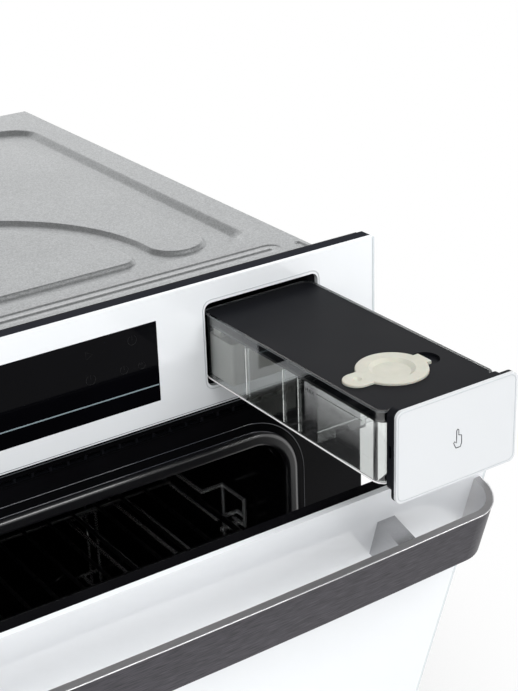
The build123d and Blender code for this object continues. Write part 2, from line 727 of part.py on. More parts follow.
def fan_cover():
    """Cover over the convection fan, with an intake rosette and side outlets."""
    cover = upright(COVER_WIDTH, COVER_HEIGHT, COVER_RADIUS, COVER_Y, CAVITY_BACK - FIT, 0, FAN_Z)
    cover -= upright(COVER_WIDTH - 2 * SHEET, COVER_HEIGHT - 2 * SHEET, COVER_RADIUS - SHEET,
                     COVER_Y + SHEET, CAVITY_BACK + 1, 0, FAN_Z)
    inner = FAN_RADIUS * 0.35
    outer = FAN_RADIUS * 0.8
    slot = SlotOverall(outer - inner, COVER_SLOT)
    for step in range(COVER_SLOTS):
        turn = 360.0 / COVER_SLOTS * step
        plane = Plane(origin=(0, COVER_Y - 1, FAN_Z), x_dir=(1, 0, 0), z_dir=(0, -1, 0))
        shape = Rot(0, 0, turn) * Pos((inner + outer) / 2, 0) * slot
        cover -= extrude(plane * shape, -4 * SHEET)
    outlet = COVER_HEIGHT / 7
    for side in (-1, 1):
        for step in range(-2, 3):
            place = Pos(side * COVER_WIDTH / 2, COVER_Y + COVER_DEPTH / 2, FAN_Z + step * outlet)
            cover -= place * Box(6 * SHEET, COVER_DEPTH / 2, outlet / 2)
    return cover


def convection_fan():
    """Radial fan wheel with curved-back blades on a hub and shaft."""
    y0 = COVER_Y + SHEET + FAN_GAP
    plane = Plane(origin=(0, y0 + FAN_DEPTH, FAN_Z), x_dir=(1, 0, 0), z_dir=(0, -1, 0))
    fan = extrude(plane * Circle(FAN_RADIUS), FAN_SHEET)
    fan += extrude(plane * Circle(SHAFT + FAN_HUB), FAN_DEPTH)
    for step in range(FAN_BLADES):
        turn = 360.0 / FAN_BLADES * step
        sheet = Rot(0, 0, FAN_LEAN) * Rectangle(FAN_RADIUS * 0.5, FAN_BLADE)
        blade = Rot(0, 0, turn) * Pos(FAN_RADIUS * 0.7, 0) * sheet
        fan += extrude(plane * blade, FAN_DEPTH - FAN_BLADE)
    fan += rod((0, y0 + FAN_DEPTH - 1, FAN_Z), (0, MOTOR_Y + SHAFT_REACH, FAN_Z), SHAFT)
    return fan


def fan_motor():
    """Motor of the convection fan on a plate behind the wool, with a bearing boss."""
    width = MOTOR_PLATE / 2
    height = MOTOR_PLATE_HEIGHT / 2
    plate = block(-width, width, MOTOR_Y, MOTOR_Y + 2 * SHEET, FAN_Z - height, FAN_Z + height)
    motor = plate + rod((0, MOTOR_Y, FAN_Z), (0, MOTOR_Y + MOTOR_LENGTH, FAN_Z), MOTOR_RADIUS)
    boss = (0, MOTOR_Y + MOTOR_LENGTH + MOTOR_BOSS_LENGTH, FAN_Z)
    motor += rod((0, MOTOR_Y + MOTOR_LENGTH - 1, FAN_Z), boss, MOTOR_BOSS)
    motor -= rod((0, MOTOR_Y - 1, FAN_Z), (0, MOTOR_Y + SHAFT_REACH + FIT, FAN_Z), SHAFT + HINGE_PIN_FIT)
    return motor


def ring_heater():
    """Round heating element about the fan, with two legs through the back wall."""
    y = COVER_Y + COVER_DEPTH / 2
    gap = RING_HEATER_GAP
    path_plane = Plane(origin=(0, y, FAN_Z), x_dir=(1, 0, 0), z_dir=(0, -1, 0))
    arc = path_plane * CenterArc((0, 0), RING_HEATER_RADIUS, -90 + gap / 2, 360 - gap)
    section = Plane(origin=arc @ 0, z_dir=arc % 0) * Circle(HEATER_TUBE)
    ring = sweep(section, path=arc)
    for end in (arc @ 0.004, arc @ 0.996):
        ring += rod((end.X, y, end.Z), (end.X, CAVITY_BACK - FIT, end.Z), HEATER_TUBE * 0.8)
    return ring


def grill_element():
    """Tube heater under the roof, bent to and fro."""
    z = CAVITY_TOP - GRILL_DROP
    front = MOUTH_Y + GRILL_FRONT
    back = front + GRILL_LENGTH
    pitch = GRILL_WIDTH / (2 * GRILL_PASSES - 1)
    points = [(-GRILL_WIDTH / 2, COVER_Y + COVER_DEPTH - FIT, z)]
    for step in range(2 * GRILL_PASSES):
        x = -GRILL_WIDTH / 2 + pitch * step
        ends = (back, front) if step % 2 == 0 else (front, back)
        if step > 0:
            points.append((x, ends[0], z))
        points.append((x, ends[1], z))
    points[-1] = (GRILL_WIDTH / 2, COVER_Y + COVER_DEPTH - FIT, z)
    return wire(points, HEATER_TUBE, pitch * 0.45)


def grill_brackets():
    """Two strips that hang the grill element from the roof."""
    z = CAVITY_TOP - GRILL_DROP
    strips = []
    half = GRILL_WIDTH / 2 + GRILL_STRIP_LAP
    front = MOUTH_Y + GRILL_FRONT
    for y in (front + GRILL_STRIP_PLACE, front + GRILL_LENGTH - GRILL_STRIP_PLACE):
        y1 = y + GRILL_STRIP
        low = z - HEATER_TUBE - FIT - SHEET
        strip = block(-half, half, y, y1, low, low + SHEET)
        for side in (-1, 1):
            ends = sorted((side * half, side * (half - SHEET)))
            strip += block(*ends, y, y1, low, CAVITY_TOP - FIT)
        strips.append(strip)
    return strips


def lamp_lens():
    """Domed glass of the oven lamp in the back wall."""
    x, z, radius = back_holes()[1]
    y = CAVITY_BACK - FIT
    lens = rod((x, y - LAMP_LENS, z), (x, y, z), LAMP_RADIUS)
    edge = lens.faces().sort_by(Axis.Y)[0].edges()
    return fillet(edge, LAMP_LENS * 3 / 4)


def lamp_holder():
    """Lamp socket behind the lens, through the wool."""
    x, z, radius = back_holes()[1]
    start = CAVITY_BACK + ENAMEL + FIT
    holder = rod((x, start, z), (x, start + LAMP_DEPTH, z), LAMP_RADIUS - FIT)
    bottom = start + LAMP_DEPTH - LAMP_WALL
    holder -= rod((x, start - 1, z), (x, bottom, z), LAMP_RADIUS - LAMP_WALL)
    holder += rod((x, bottom, z), (x, MOTOR_Y + LAMP_TAIL, z), LAMP_TAIL_RADIUS)
    return holder


def steam_inlet():
    """Steam nozzle through the back wall."""
    x, z, radius = back_holes()[2]
    y0 = CAVITY_BACK - INLET_REACH
    y1 = MOTOR_Y + INLET_BEHIND
    nozzle = rod((x, y0, z), (x, y1, z), INLET_RADIUS)
    nozzle += rod((x, y0, z), (x, CAVITY_BACK - FIT, z), INLET_RADIUS + INLET_RIM)
    nozzle -= rod((x, y0 - 1, z), (x, y1 + 1, z), INLET_RADIUS - INLET_WALL)
    return nozzle


def temperature_sensor():
    """Thin probe at the top of the back wall."""
    z = (FAN_Z + COVER_HEIGHT / 2 + CAVITY_TOP - GRILL_DROP - HEATER_TUBE) / 2
    probe = rod((0, CAVITY_BACK - PROBE_LENGTH, z), (0, CAVITY_BACK - FIT, z), PROBE_RADIUS)
    probe += rod((0, CAVITY_BACK - 2 * PROBE_RADIUS, z), (0, CAVITY_BACK - FIT, z), 2.5 * PROBE_RADIUS)
    return probe


def rack_wall_x():
    """Middle of the rack's wall-side wires."""
    return CAVITY_WIDTH / 2 - RACK_GAP - RACK_WIRE


def rack_level(step):
    """Height of a level's lower wire, counted down from the top one."""
    return RACK_TOP - RACK_PITCH * step


def side_rack(side):
    """Chromed ladder: on posts, a loop at each level that bends in from the wall, and two hooks."""
    x_wall = rack_wall_x()
    x_rail = x_wall - RACK_JOG
    x_end = x_wall + RACK_WIRE
    y0 = MOUTH_Y + RACK_FRONT
    y1 = y0 + RACK_LENGTH
    rack = None
    for step in range(RACK_LEVELS):
        z = rack_level(step)
        points = [
            (x_end, y1 - RACK_LOWER_JOG, z),
            (x_rail, y1 - RACK_LOWER_JOG, z),
            (x_rail, y0 + RACK_LOWER_JOG, z),
            (x_wall, y0 + RACK_LOWER_JOG, z),
            (x_wall, y0, z),
            (x_wall, y0, z + RACK_PAIR),
            (x_wall, y0 + RACK_UPPER_JOG, z + RACK_PAIR),
            (x_rail, y0 + RACK_UPPER_JOG, z + RACK_PAIR),
            (x_rail, y1 - RACK_UPPER_JOG, z + RACK_PAIR),
            (x_end, y1 - RACK_UPPER_JOG, z + RACK_PAIR),
        ]
        loop = mitred(points, RACK_WIRE)
        rack = loop if rack is None else rack + loop
    low = rack_level(RACK_LEVELS - 1) - RACK_PAIR
    high = RACK_TOP + RACK_PAIR
    for y in (y0 + RACK_UPPER_JOG, y1 - RACK_UPPER_JOG):
        rack += rod((x_wall, y, low), (x_wall, y, high), RACK_POST)
    high = rack_level(1) + RACK_PAIR
    for y in (y0, y1 - RACK_LOWER_JOG):
        rack += rod((x_wall, y, low), (x_wall, y, high), RACK_POST)
    hook = hook_z()
    front, rear = stud_places()
    points = [(x_wall, y0, RACK_TOP), (x_wall, y0, hook), (x_wall, front + HOOK_PAST, hook)]
    rack += mitred(points, RACK_POST)
    points = [
        (x_wall, y1 - RACK_LOWER_JOG, RACK_TOP),
        (x_wall, y1, RACK_TOP),
        (x_wall, y1, hook),
        (x_wall, rear - HOOK_PAST, hook),
    ]
    rack += mitred(points, RACK_POST)
    return rack if side > 0 else mirrored(rack)


def stud_places():
    """Places of the front and the rear stud along the side wall."""
    y0 = MOUTH_Y + RACK_FRONT
    return y0 + STUD_BEHIND, y0 + RACK_LENGTH - STUD_BEHIND


def hook_z():
    """Height of the ladder's hooks, which rest on the studs."""
    return RACK_TOP - STUD_DROP + STUD_RADIUS + RACK_POST + FIT


def rack_studs():
    """Studs in the side walls that the ladders' hooks rest on, each with a nut and a round head."""
    wall = CAVITY_WIDTH / 2
    z = RACK_TOP - STUD_DROP
    nut_end = rack_wall_x() - RACK_WIRE - FIT
    nut_start = nut_end - STUD_NUT_LENGTH
    head_end = nut_start - STUD_NECK
    head_start = head_end - STUD_HEAD_LENGTH
    studs = []
    for side in (-1, 1):
        for y in stud_places():
            stud = rod((side * (wall - FIT), y, z), (side * head_start, y, z), STUD_RADIUS)
            stud += rod((side * nut_end, y, z), (side * nut_start, y, z), STUD_NUT)
            head = rod((side * head_end, y, z), (side * head_start, y, z), STUD_HEAD)
            head = fillet(head.edges(), STUD_HEAD / 3)
            studs.append(stud + head)
    return studs


def wire_shelf():
    """Wire shelf: a frame of thick wire with thin bars that run front to back."""
    x = rack_wall_x() - RACK_JOG
    y0 = MOUTH_Y + RACK_FRONT - SHELF_FORWARD
    y1 = MOUTH_Y + RACK_FRONT + RACK_LENGTH - SHELF_BACK
    z = RACK_TOP + RACK_WIRE + SHELF_WIRE + FIT
    frame = mitred([(-x, y0, z), (x, y0, z), (x, y1, z), (-x, y1, z), (-x, y0, z)], SHELF_WIRE)
    count = int(x / SHELF_PITCH - 0.5)
    for step in range(-count, count + 1):
        bar = rod((step * SHELF_PITCH, y0, z), (step * SHELF_PITCH, y1, z), SHELF_BAR)
        frame += bar
    for share in (0.33, 0.67):
        y = y0 + (y1 - y0) * share
        low = z - SHELF_WIRE + SHELF_BAR
        frame += rod((-x, y, low), (x, y, low), SHELF_BAR)
    return frame


# Door, modelled shut and turned to its rest pose


def door_width():
    return FRONT_WIDTH - 2 * DOOR_SIDE


def door_glass():
    """White outer glass of the door."""
    height = DOOR_TOP - DOOR_BOTTOM
    glass = upright(door_width(), height, 1.5, FRONT_Y, FRONT_Y + GLASS, 0, DOOR_BOTTOM + height / 2)
    for x, z in handle_screw_places():
        glass -= rod((x, FRONT_Y - 1, z), (x, FRONT_Y + GLASS + 1, z), SCREW + FIT)
    return at_rest(glass)


def door_top_trim():
    """Black trim along the door's top edge."""
    y0 = FRONT_Y + GLASS
    half = door_width() / 2 - 1
    low = DOOR_TOP - DOOR_TRIM
    trim = block(-half, half, y0, FRONT_Y + DOOR_RIM, low, DOOR_TOP - 0.5)
    trim -= block(-half + 4, half - 4, y0 + 2.4, FRONT_Y + DOOR_RIM - 2.4, low - 1, DOOR_TOP - 4)
    return at_rest(trim)


def door_side_trims():
    """Black trims down both sides of the door."""
    y0 = FRONT_Y + GLASS
    half = door_width() / 2 - 1
    high = DOOR_TOP - DOOR_TRIM - FIT
    trims = []
    for side in (-1, 1):
        inner = side * (half - DOOR_TRAY_INSET)
        outer = side * half
        bar = block(min(inner, outer), max(inner, outer), y0, FRONT_Y + DOOR_RIM, DOOR_BOTTOM + 8, high)
        trims.append(at_rest(bar))
    return trims


def plug_size():
    """Width, height and corner radius of the door's inner box."""
    width = CAVITY_WIDTH - 2 * PLUG_CLEAR
    height = CAVITY_HEIGHT - 2 * PLUG_CLEAR
    return width, height, CAVITY_RADIUS - 4


def door_inner_frame():
    """Pressed inner door: a flat land that meets the gasket and a box that enters the mouth."""
    y0 = FRONT_Y + GLASS
    land = FRONT_Y + DOOR_BACK
    half = door_width() / 2 - 1 - DOOR_TRAY_INSET - FIT
    high = DOOR_TOP - DOOR_TRIM - FIT
    low = DOOR_BOTTOM + 8
    width, height, radius = plug_size()
    back = land + PLUG_DEPTH
    form = block(-half, half, y0, land, low, high)
    form += upright(width, height, radius, y0, back, 0, CAVITY_Z)
    inner = half - DOOR_PANEL
    hollow = block(-inner, inner, y0 - 1, land - DOOR_PANEL, low + DOOR_PANEL, high - DOOR_PANEL)
    hollow += upright(width - 2 * DOOR_PANEL, height - 2 * DOOR_PANEL, radius - DOOR_PANEL,
                      y0 - 1, back - DOOR_PANEL, 0, CAVITY_Z)
    form -= hollow
    border = 14.0
    form -= upright(width - 2 * border, height - 2 * border, radius - border / 2, land, back + 1, 0, CAVITY_Z)
    slot = HINGE_ARM / 2 + FIT
    for x in hinge_places():
        form -= block(x - slot, x + slot, y0 - 1, land + 1, low - 1, low + DOOR_PANEL + FIT)
    return at_rest(form)


def door_panes():
    """The two panes in the inner door, with the spacer's depth between them."""
    width, height, radius = plug_size()
    shrink = 2 * (DOOR_PANEL + FIT)
    panes = []
    for behind in (0, PANE + spacer_depth() + 2 * FIT):
        back = FRONT_Y + DOOR_BACK + PLUG_DEPTH - DOOR_PANEL - FIT - behind
        pane = upright(width - shrink, height - shrink, radius - DOOR_PANEL, back - PANE, back, 0, CAVITY_Z)
        panes.append(at_rest(pane))
    return panes


def pane_spacer():
    """Frame that keeps the two panes apart."""
    width, height, radius = plug_size()
    shrink = 2 * (DOOR_PANEL + FIT)
    back = FRONT_Y + DOOR_BACK + PLUG_DEPTH - DOOR_PANEL - 2 * FIT - PANE
    depth = spacer_depth()
    ring = upright(width - shrink, height - shrink, radius - DOOR_PANEL, back - depth, back, 0, CAVITY_Z)
    inner = shrink + 2 * SPACER_WIDTH
    ends = (back - depth - 1, back + 1)
    ring -= upright(width - inner, height - inner, radius - SPACER_WIDTH, *ends, 0, CAVITY_Z)
    return at_rest(ring)


def spacer_depth():
    return PLUG_DEPTH - DOOR_PANEL - 2 * PANE - 4 * FIT


def hinge_places():
    return (-HINGE_X, HINGE_X)


def door_hinge_arms():
    """Steel knuckles on the door that turn on the hinge pins."""
    arms = []
    top = HINGE_Z + HINGE_ARM_HEIGHT
    plate = HINGE_PLATE_WIDTH / 2
    y1 = FRONT_Y + DOOR_BACK - DOOR_PANEL
    y0 = FRONT_Y + GLASS
    for x in hinge_places():
        half = HINGE_ARM / 2
        arm = rod((x - half, HINGE_Y, HINGE_Z), (x + half, HINGE_Y, HINGE_Z), HINGE_EYE)
        arm += block(x - half, x + half, HINGE_Y - HINGE_EYE, y1 - FIT, HINGE_Z, top)
        arm += block(x - plate, x + plate, y0 + FIT, y0 + FIT + HINGE_PLATE, top - HINGE_PLATE_HEIGHT, top)
        bore = HINGE_PIN + HINGE_PIN_FIT
        arm -= rod((x - HINGE_ARM, HINGE_Y, HINGE_Z), (x + HINGE_ARM, HINGE_Y, HINGE_Z), bore)
        arms.append(at_rest(arm))
    return arms


def hinge_brackets():
    """Two-eared brackets on the frame with the hinge pins."""
    brackets = []
    for x in hinge_places():
        inner = HINGE_ARM / 2 + FIT
        outer = inner + HINGE_EAR
        foot = block(x - 2 * outer, x + 2 * outer, WING_Y - HINGE_FOOT, WING_Y,
                     HINGE_Z - 1.3 * HINGE_EYE, HINGE_Z + 4 * HINGE_EYE)
        for side in (-1, 1):
            a = x + side * inner
            b = x + side * outer
            foot += rod((min(a, b), HINGE_Y, HINGE_Z), (max(a, b), HINGE_Y, HINGE_Z), HINGE_EYE)
            foot += block(min(a, b), max(a, b), HINGE_Y, WING_Y, HINGE_Z - HINGE_EYE, HINGE_Z + HINGE_EYE)
        pin = outer + SHEET
        foot += rod((x - pin, HINGE_Y, HINGE_Z), (x + pin, HINGE_Y, HINGE_Z), HINGE_PIN)
        brackets.append(foot)
    return brackets


def handle_levels():
    """Low and high edge of the handle band."""
    high = DOOR_TOP - HANDLE_DROP
    return high - HANDLE_HEIGHT, high


def handle_outline(inset):
    """Half of the handle's plan line at a distance inside its outer face, from the glass to the middle."""
    end_x = FRONT_WIDTH / 2 - HANDLE_END - inset
    stand = HANDLE_STAND - HANDLE_BOW - inset
    radius = HANDLE_RADIUS - inset
    middle = HANDLE_STAND - inset
    return end_x, stand, radius, middle


def handle_loop(inset):
    """Closed plan face of the handle's outer line at a distance inside its outer face."""
    end_x, stand, radius, middle = handle_outline(inset)
    corner = radius * (1 - math.sqrt(0.5))
    a = (-end_x, 0)
    b = (-end_x, -(stand - radius))
    c = (-end_x + radius, -stand)
    b_c = (-end_x + corner, -(stand - corner))
    d = (end_x - radius, -stand)
    e = (end_x, -(stand - radius))
    d_e = (end_x - corner, -(stand - corner))
    f = (end_x, 0)
    lines = [Line(a, b), ThreePointArc(b, b_c, c), ThreePointArc(c, (0, -middle), d)]
    lines += [ThreePointArc(d, d_e, e), Line(e, f), Line(f, a)]
    return make_face(Wire(lines))


def handle_band():
    """Wide flat handle band that bends back to the glass at both ends."""
    low, high = handle_levels()
    plan = handle_loop(0) - handle_loop(HANDLE_THICK)
    band = extrude(Plane(origin=(0, FRONT_Y, low)) * plan, high - low)
    return at_rest(band)


def handle_struts():
    """Two flat struts between the band and the glass."""
    low, high = handle_levels()
    struts = []
    for side in (-1, 1):
        x = side * STRUT_X
        share = (STRUT_X + STRUT_WIDTH / 2) / (FRONT_WIDTH / 2 - HANDLE_END - HANDLE_RADIUS)
        reach = HANDLE_STAND - HANDLE_THICK - HANDLE_BOW * share ** 2 - FIT / 3
        strut = block(x - STRUT_WIDTH / 2, x + STRUT_WIDTH / 2, FRONT_Y - reach, FRONT_Y,
                      low + STRUT_DROP, high - STRUT_DROP)
        middle = (low + high) / 2
        strut -= rod((x, FRONT_Y - SCREW_LENGTH - SHEET, middle), (x, FRONT_Y + 1, middle), SCREW + FIT / 3)
        struts.append(at_rest(strut))
    return struts


def handle_screw_places():
    low, high = handle_levels()
    middle = (low + high) / 2
    return [(-STRUT_X, middle), (STRUT_X, middle)]


def handle_screws():
    """Screws from inside the glass into the struts."""
    screws = []
    for x, z in handle_screw_places():
        head = FRONT_Y + GLASS + FIT
        screw = rod((x, FRONT_Y - SCREW_LENGTH, z), (x, head + FIT, z), SCREW)
        screw += rod((x, head, z), (x, head + SCREW_HEAD_RISE, z), SCREW_HEAD)
        screws.append(at_rest(screw))
    return screws


# Water tank drawer, modelled drawn out


def rib_place():
    """Distance of the bay's runner ribs from the drawer's middle."""
    return BAY_INNER / 2 - BAY_RIB_INSET


def drawer_glass():
    """White front glass of the drawer."""
    y0 = FRONT_Y - TRAVEL
    width = OPENING_WIDTH - 2 * FRONT_GAP
    height = OPENING_HEIGHT - 2 * FRONT_GAP
    return upright(width, height, FRONT_RADIUS, y0, y0 + DRAWER_GLASS, OPENING_X, PANEL_Z)


def drawer_block():
    """Black plate behind the drawer glass, with a narrower block, grip slots and a neck to the tank."""
    y0 = FRONT_Y - TRAVEL + DRAWER_GLASS
    y1 = y0 + BACKING
    y2 = y1 + BLOCK_DEPTH
    width = OPENING_WIDTH - 2 * FRONT_GAP
    height = OPENING_HEIGHT - 2 * FRONT_GAP
    inset = 2 * BLOCK_INSET
    piece = upright(width, height, FRONT_RADIUS, y0, y1, OPENING_X, PANEL_Z)
    piece += upright(width - inset, height - inset, FRONT_RADIUS, y1 - 1, y2, OPENING_X, PANEL_Z)
    slot = Box(2 * GRIP_DEPTH, BLOCK_DEPTH / 2, GRIP_HEIGHT)
    groove = BAY_RIB_WIDTH / 2 + FIT
    for side in (-1, 1):
        piece -= Pos(OPENING_X + side * (width - inset) / 2, (y1 + y2) / 2, PANEL_Z) * slot
        x = OPENING_X + side * rib_place()
        piece -= block(x - groove, x + groove, y0 - 1, y2 + 1, PANEL_BOTTOM, TANK_BOTTOM)
    neck = TANK_WIDTH * 0.4
    levels = (TANK_BOTTOM + NECK_LOW, TANK_TOP - NECK_HIGH)
    piece += block(OPENING_X - neck, OPENING_X + neck, y2, TANK_Y, *levels)
    return piece


def tank_form(inset, z0, z1):
    """The tank's round-cornered plan, inset by a wall, between two heights."""
    y = TANK_Y + TANK_LENGTH / 2
    radius = TANK_RADIUS - inset
    return flat(TANK_WIDTH - 2 * inset, TANK_LENGTH - 2 * inset, radius, z0, z1, OPENING_X, y)


def tank_body():
    """Clear tank with thin walls and two guide ribs on each side wall."""
    tank = tank_form(0, TANK_BOTTOM, TANK_TOP)
    edges = tank.faces().sort_by(Axis.Z)[0].edges()
    tank = fillet(edges, 2.5)
    tank -= tank_form(TANK_WALL, TANK_BOTTOM + TANK_WALL, TANK_TOP + 1)
    top = LID_FOOT - LID_SEAL - SHEET
    for place in TANK_RIB_PLACES:
        y = TANK_Y + place
        for side in (-1, 1):
            x = OPENING_X + side * (TANK_WIDTH / 2 - TANK_WALL)
            low = TANK_BOTTOM + TANK_WALL / 2
            tank += block(x - 2 * TANK_RIB, x + 2 * TANK_RIB, y, y + TANK_RIB, low, top)
    tank = tank & tank_form(0, TANK_BOTTOM, TANK_TOP)
    z = port_z()
    tank -= rod((OPENING_X, TANK_BACK - 2 * TANK_WALL, z), (OPENING_X, TANK_BACK + 1, z), PORT_RADIUS + FIT)
    return tank


def tank_baffle():
    """Clear cross wall that calms the water, with a foot and flow notches."""
    inner = TANK_WIDTH / 2 - TANK_WALL - FIT
    foot = inner - NECK_LOW
    y = TANK_Y + BAFFLE_BEHIND
    z0 = TANK_BOTTOM + TANK_WALL + FIT
    wall = block(OPENING_X - inner, OPENING_X + inner, y, y + BAFFLE, z0, LID_FOOT - LID_SEAL)
    wall += block(OPENING_X - foot, OPENING_X + foot, y, y + BAFFLE_FOOT, z0, z0 + BAFFLE)
    for side in (-1, 0, 1):
        notch = Box(BAFFLE_NOTCH, 4 * BAFFLE, BAFFLE_NOTCH)
        wall -= Pos(OPENING_X + side * BAFFLE_NOTCH_PITCH, y, z0) * notch
    return wall


def tank_valve():
    """White filter and valve block at the tank's back, with its port and riser."""
    z = port_z()
    back = TANK_BACK - TANK_WALL - FIT
    x0 = OPENING_X - TANK_WIDTH / 2 + TANK_WALL + 4
    low = TANK_BOTTOM + TANK_WALL + FIT
    body = block(x0, OPENING_X + VALVE_BORE, back - VALVE_DEPTH, back, low, low + VALVE_HEIGHT)
    body = fillet(body.edges().filter_by(Axis.Z), 3.0)
    riser = x0 + TANK_WALL
    body += block(riser, riser + VALVE_RISER, back - 1.5 * VALVE_RISER, back - VALVE_RISER / 2,
                  low + VALVE_HEIGHT - 1, LID_FOOT - LID_SEAL - SHEET)
    end = TANK_BACK + PORT_LENGTH
    body += rod((OPENING_X, back - 1, z), (OPENING_X, end, z), PORT_RADIUS)
    body -= rod((OPENING_X, back - VALVE_BORE, z), (OPENING_X, end + 1, z), PORT_RADIUS - PORT_WALL)
    return body


def cap_outline(grow):
    """Plan of the filler cap: a disc with a tab on its left and a short tongue on its right."""
    disc = Circle(CAP_RADIUS + grow)
    tab = Pos(-CAP_TAB / 2, 0) * Rectangle(CAP_TAB, 2 * (CAP_TAB_RADIUS + grow))
    end = Pos(-CAP_TAB, 0) * Circle(CAP_TAB_RADIUS + grow)
    tongue = Pos(CAP_TONGUE / 2, 0) * Rectangle(CAP_TONGUE + 2 * grow, CAP_TONGUE_WIDTH + 2 * grow)
    return Pos(CAP_X, CAP_Y) * (disc + tab + end + tongue)


def tank_lid():
    """Black lid that drops into the tank's walls: skirt, filler hole, cap recess and finger notch."""
    y = TANK_Y + TANK_LENGTH / 2
    radius = TANK_RADIUS - TANK_WALL - FIT
    low = LID_FOOT
    lid = flat(LID_WIDTH, LID_LENGTH, radius, low, TANK_TOP - FIT, OPENING_X, y)
    skirt = 1.5
    inner = (LID_WIDTH - 2 * skirt, LID_LENGTH - 2 * skirt, radius - skirt)
    lid -= flat(*inner, low - 1, LID_BOTTOM, OPENING_X, y)
    floor = TANK_TOP - FIT - CAP_RECESS
    lid -= extrude(Plane(origin=(0, 0, floor)) * cap_outline(CAP_FIT), LID_SKIRT)
    notch_floor = TANK_TOP - FIT - CAP_NOTCH_DEPTH
    notch = Pos(CAP_X + CAP_TONGUE, CAP_Y) * Circle(CAP_NOTCH)
    lid -= extrude(Plane(origin=(0, 0, notch_floor)) * notch, LID_SKIRT)
    lid -= rod((CAP_X, CAP_Y, low - 1), (CAP_X, CAP_Y, HEIGHT), CAP_PLUG + CAP_FIT)
    return lid


def lid_seal():
    """Silicone ring under the lid's skirt."""
    y = TANK_Y + TANK_LENGTH / 2
    radius = TANK_RADIUS - TANK_WALL - FIT
    high = LID_FOOT
    low = high - LID_SEAL
    inset = 1.2 * LID_SEAL
    ring = flat(LID_WIDTH, LID_LENGTH, radius, low, high, OPENING_X, y)
    inner = (LID_WIDTH - 2 * inset, LID_LENGTH - 2 * inset, radius - inset)
    ring -= flat(*inner, low - 1, high + 1, OPENING_X, y)
    return ring


def filler_cap():
    """Soft filler cap: disc with a dished middle, a plug ring and a tab with a dimple."""
    base = TANK_TOP - FIT - CAP_RECESS
    top = base + CAP_THICK
    foot = base - CAP_PLUG_DEPTH
    cap = extrude(Plane(origin=(0, 0, base)) * cap_outline(0), CAP_THICK)
    cap = fillet(cap.faces().sort_by(Axis.Z)[-1].edges(), CAP_THICK / 3)
    cap += rod((CAP_X, CAP_Y, foot), (CAP_X, CAP_Y, base + 1), CAP_PLUG)
    sides = (Align.CENTER, Align.CENTER, Align.MAX)
    dish = Cone(CAP_DISH - CAP_THICK, CAP_DISH, CAP_DISH_DEPTH, align=sides)
    cap -= Pos(CAP_X, CAP_Y, top) * dish
    cap -= rod((CAP_X, CAP_Y, foot - 1), (CAP_X, CAP_Y, base - CAP_WEB), CAP_PLUG - CAP_RING)
    cap -= Pos(CAP_X - CAP_TAB, CAP_Y, top + CAP_DIMPLE * 2 / 3) * Sphere(CAP_DIMPLE)
    return cap


# Tank bay and water system


def tank_bay():
    """Black open-topped bay that the tank slides into, on feet over the tray."""
    half = BAY_INNER / 2
    x = OPENING_X
    low = BAY_FLOOR - BAY_WALL
    y0 = BAY_BACK + BAY_WALL
    bay = block(x - half - BAY_WALL, x + half + BAY_WALL, FRAME_Y + FIT, y0, low, BAY_TOP)
    bay -= block(x - half, x + half, FRAME_Y - 1, BAY_BACK, BAY_FLOOR, BAY_TOP + 1)
    rib = BAY_RIB_WIDTH / 2
    foot = BAY_FOOT_WIDTH / 2
    for side in (-1, 1):
        rib_x = x + side * rib_place()
        bay += block(rib_x - rib, rib_x + rib, FRONT_Y + GLASS + SHEET, BAY_BACK, low, BAY_FLOOR + BAY_RIB)
        for y in (SEAT_Y + BAY_FOOT_FRONT, BAY_BACK - BAY_FOOT_BACK):
            bay += block(rib_x - foot, rib_x + foot, y, y + BAY_FOOT, TRAY_TOP + FIT, BAY_FLOOR)
    z = port_z()
    hole = PORT_RADIUS + SOCKET_WALL
    bay -= rod((x, BAY_BACK - BAY_WALL, z), (x, y0 + BAY_WALL, z), hole)
    latch_x, latch_z = latch_place()
    size = (LATCH_BODY_WIDTH, LATCH_BODY_DEPTH, LATCH_BODY_HEIGHT)
    bay += Pos(latch_x, y0 + LATCH_BODY_DEPTH / 2, latch_z) * Box(*size)
    bay -= rod((latch_x, BAY_BACK - 1, latch_z), (latch_x, y0 + LATCH_BORE, latch_z), LATCH_PIN + LATCH_FIT)
    return bay


def port_z():
    return TANK_BOTTOM + TANK_WALL + PORT_RADIUS + PORT_LIFT


def latch_place():
    return OPENING_X + LATCH_SIDE, TANK_TOP - LATCH_DROP


def dock_socket():
    """Socket at the bay's back that takes the tank's port."""
    z = port_z()
    x = OPENING_X
    y0 = BAY_BACK - 2 * BAY_WALL
    y1 = BAY_BACK + SOCKET_LENGTH
    behind = BAY_BACK + BAY_WALL + FIT
    socket = rod((x, y0, z), (x, y1, z), PORT_RADIUS + SOCKET_WALL - FIT)
    socket += rod((x, behind, z), (x, behind + 2 * SOCKET_WALL, z), PORT_RADIUS + SOCKET_FLANGE)
    socket -= rod((x, y0 - 1, z), (x, BAY_BACK + PORT_LENGTH + SOCKET_WALL, z), PORT_RADIUS + FIT)
    socket -= rod((x, y0, z), (x, y1 + 1, z), HOSE - 1)
    return socket


def latch_plunger():
    """Sprung plunger of the push latch."""
    x, z = latch_place()
    tip = TANK_BACK + TRAVEL + FIT
    end = BAY_BACK + BAY_WALL + LATCH_BORE - LATCH_TRAVEL - SHEET
    plunger = rod((x, tip, z), (x, end, z), LATCH_PIN)
    return fillet(plunger.faces().sort_by(Axis.Y)[0].edges(), LATCH_PIN / 3)


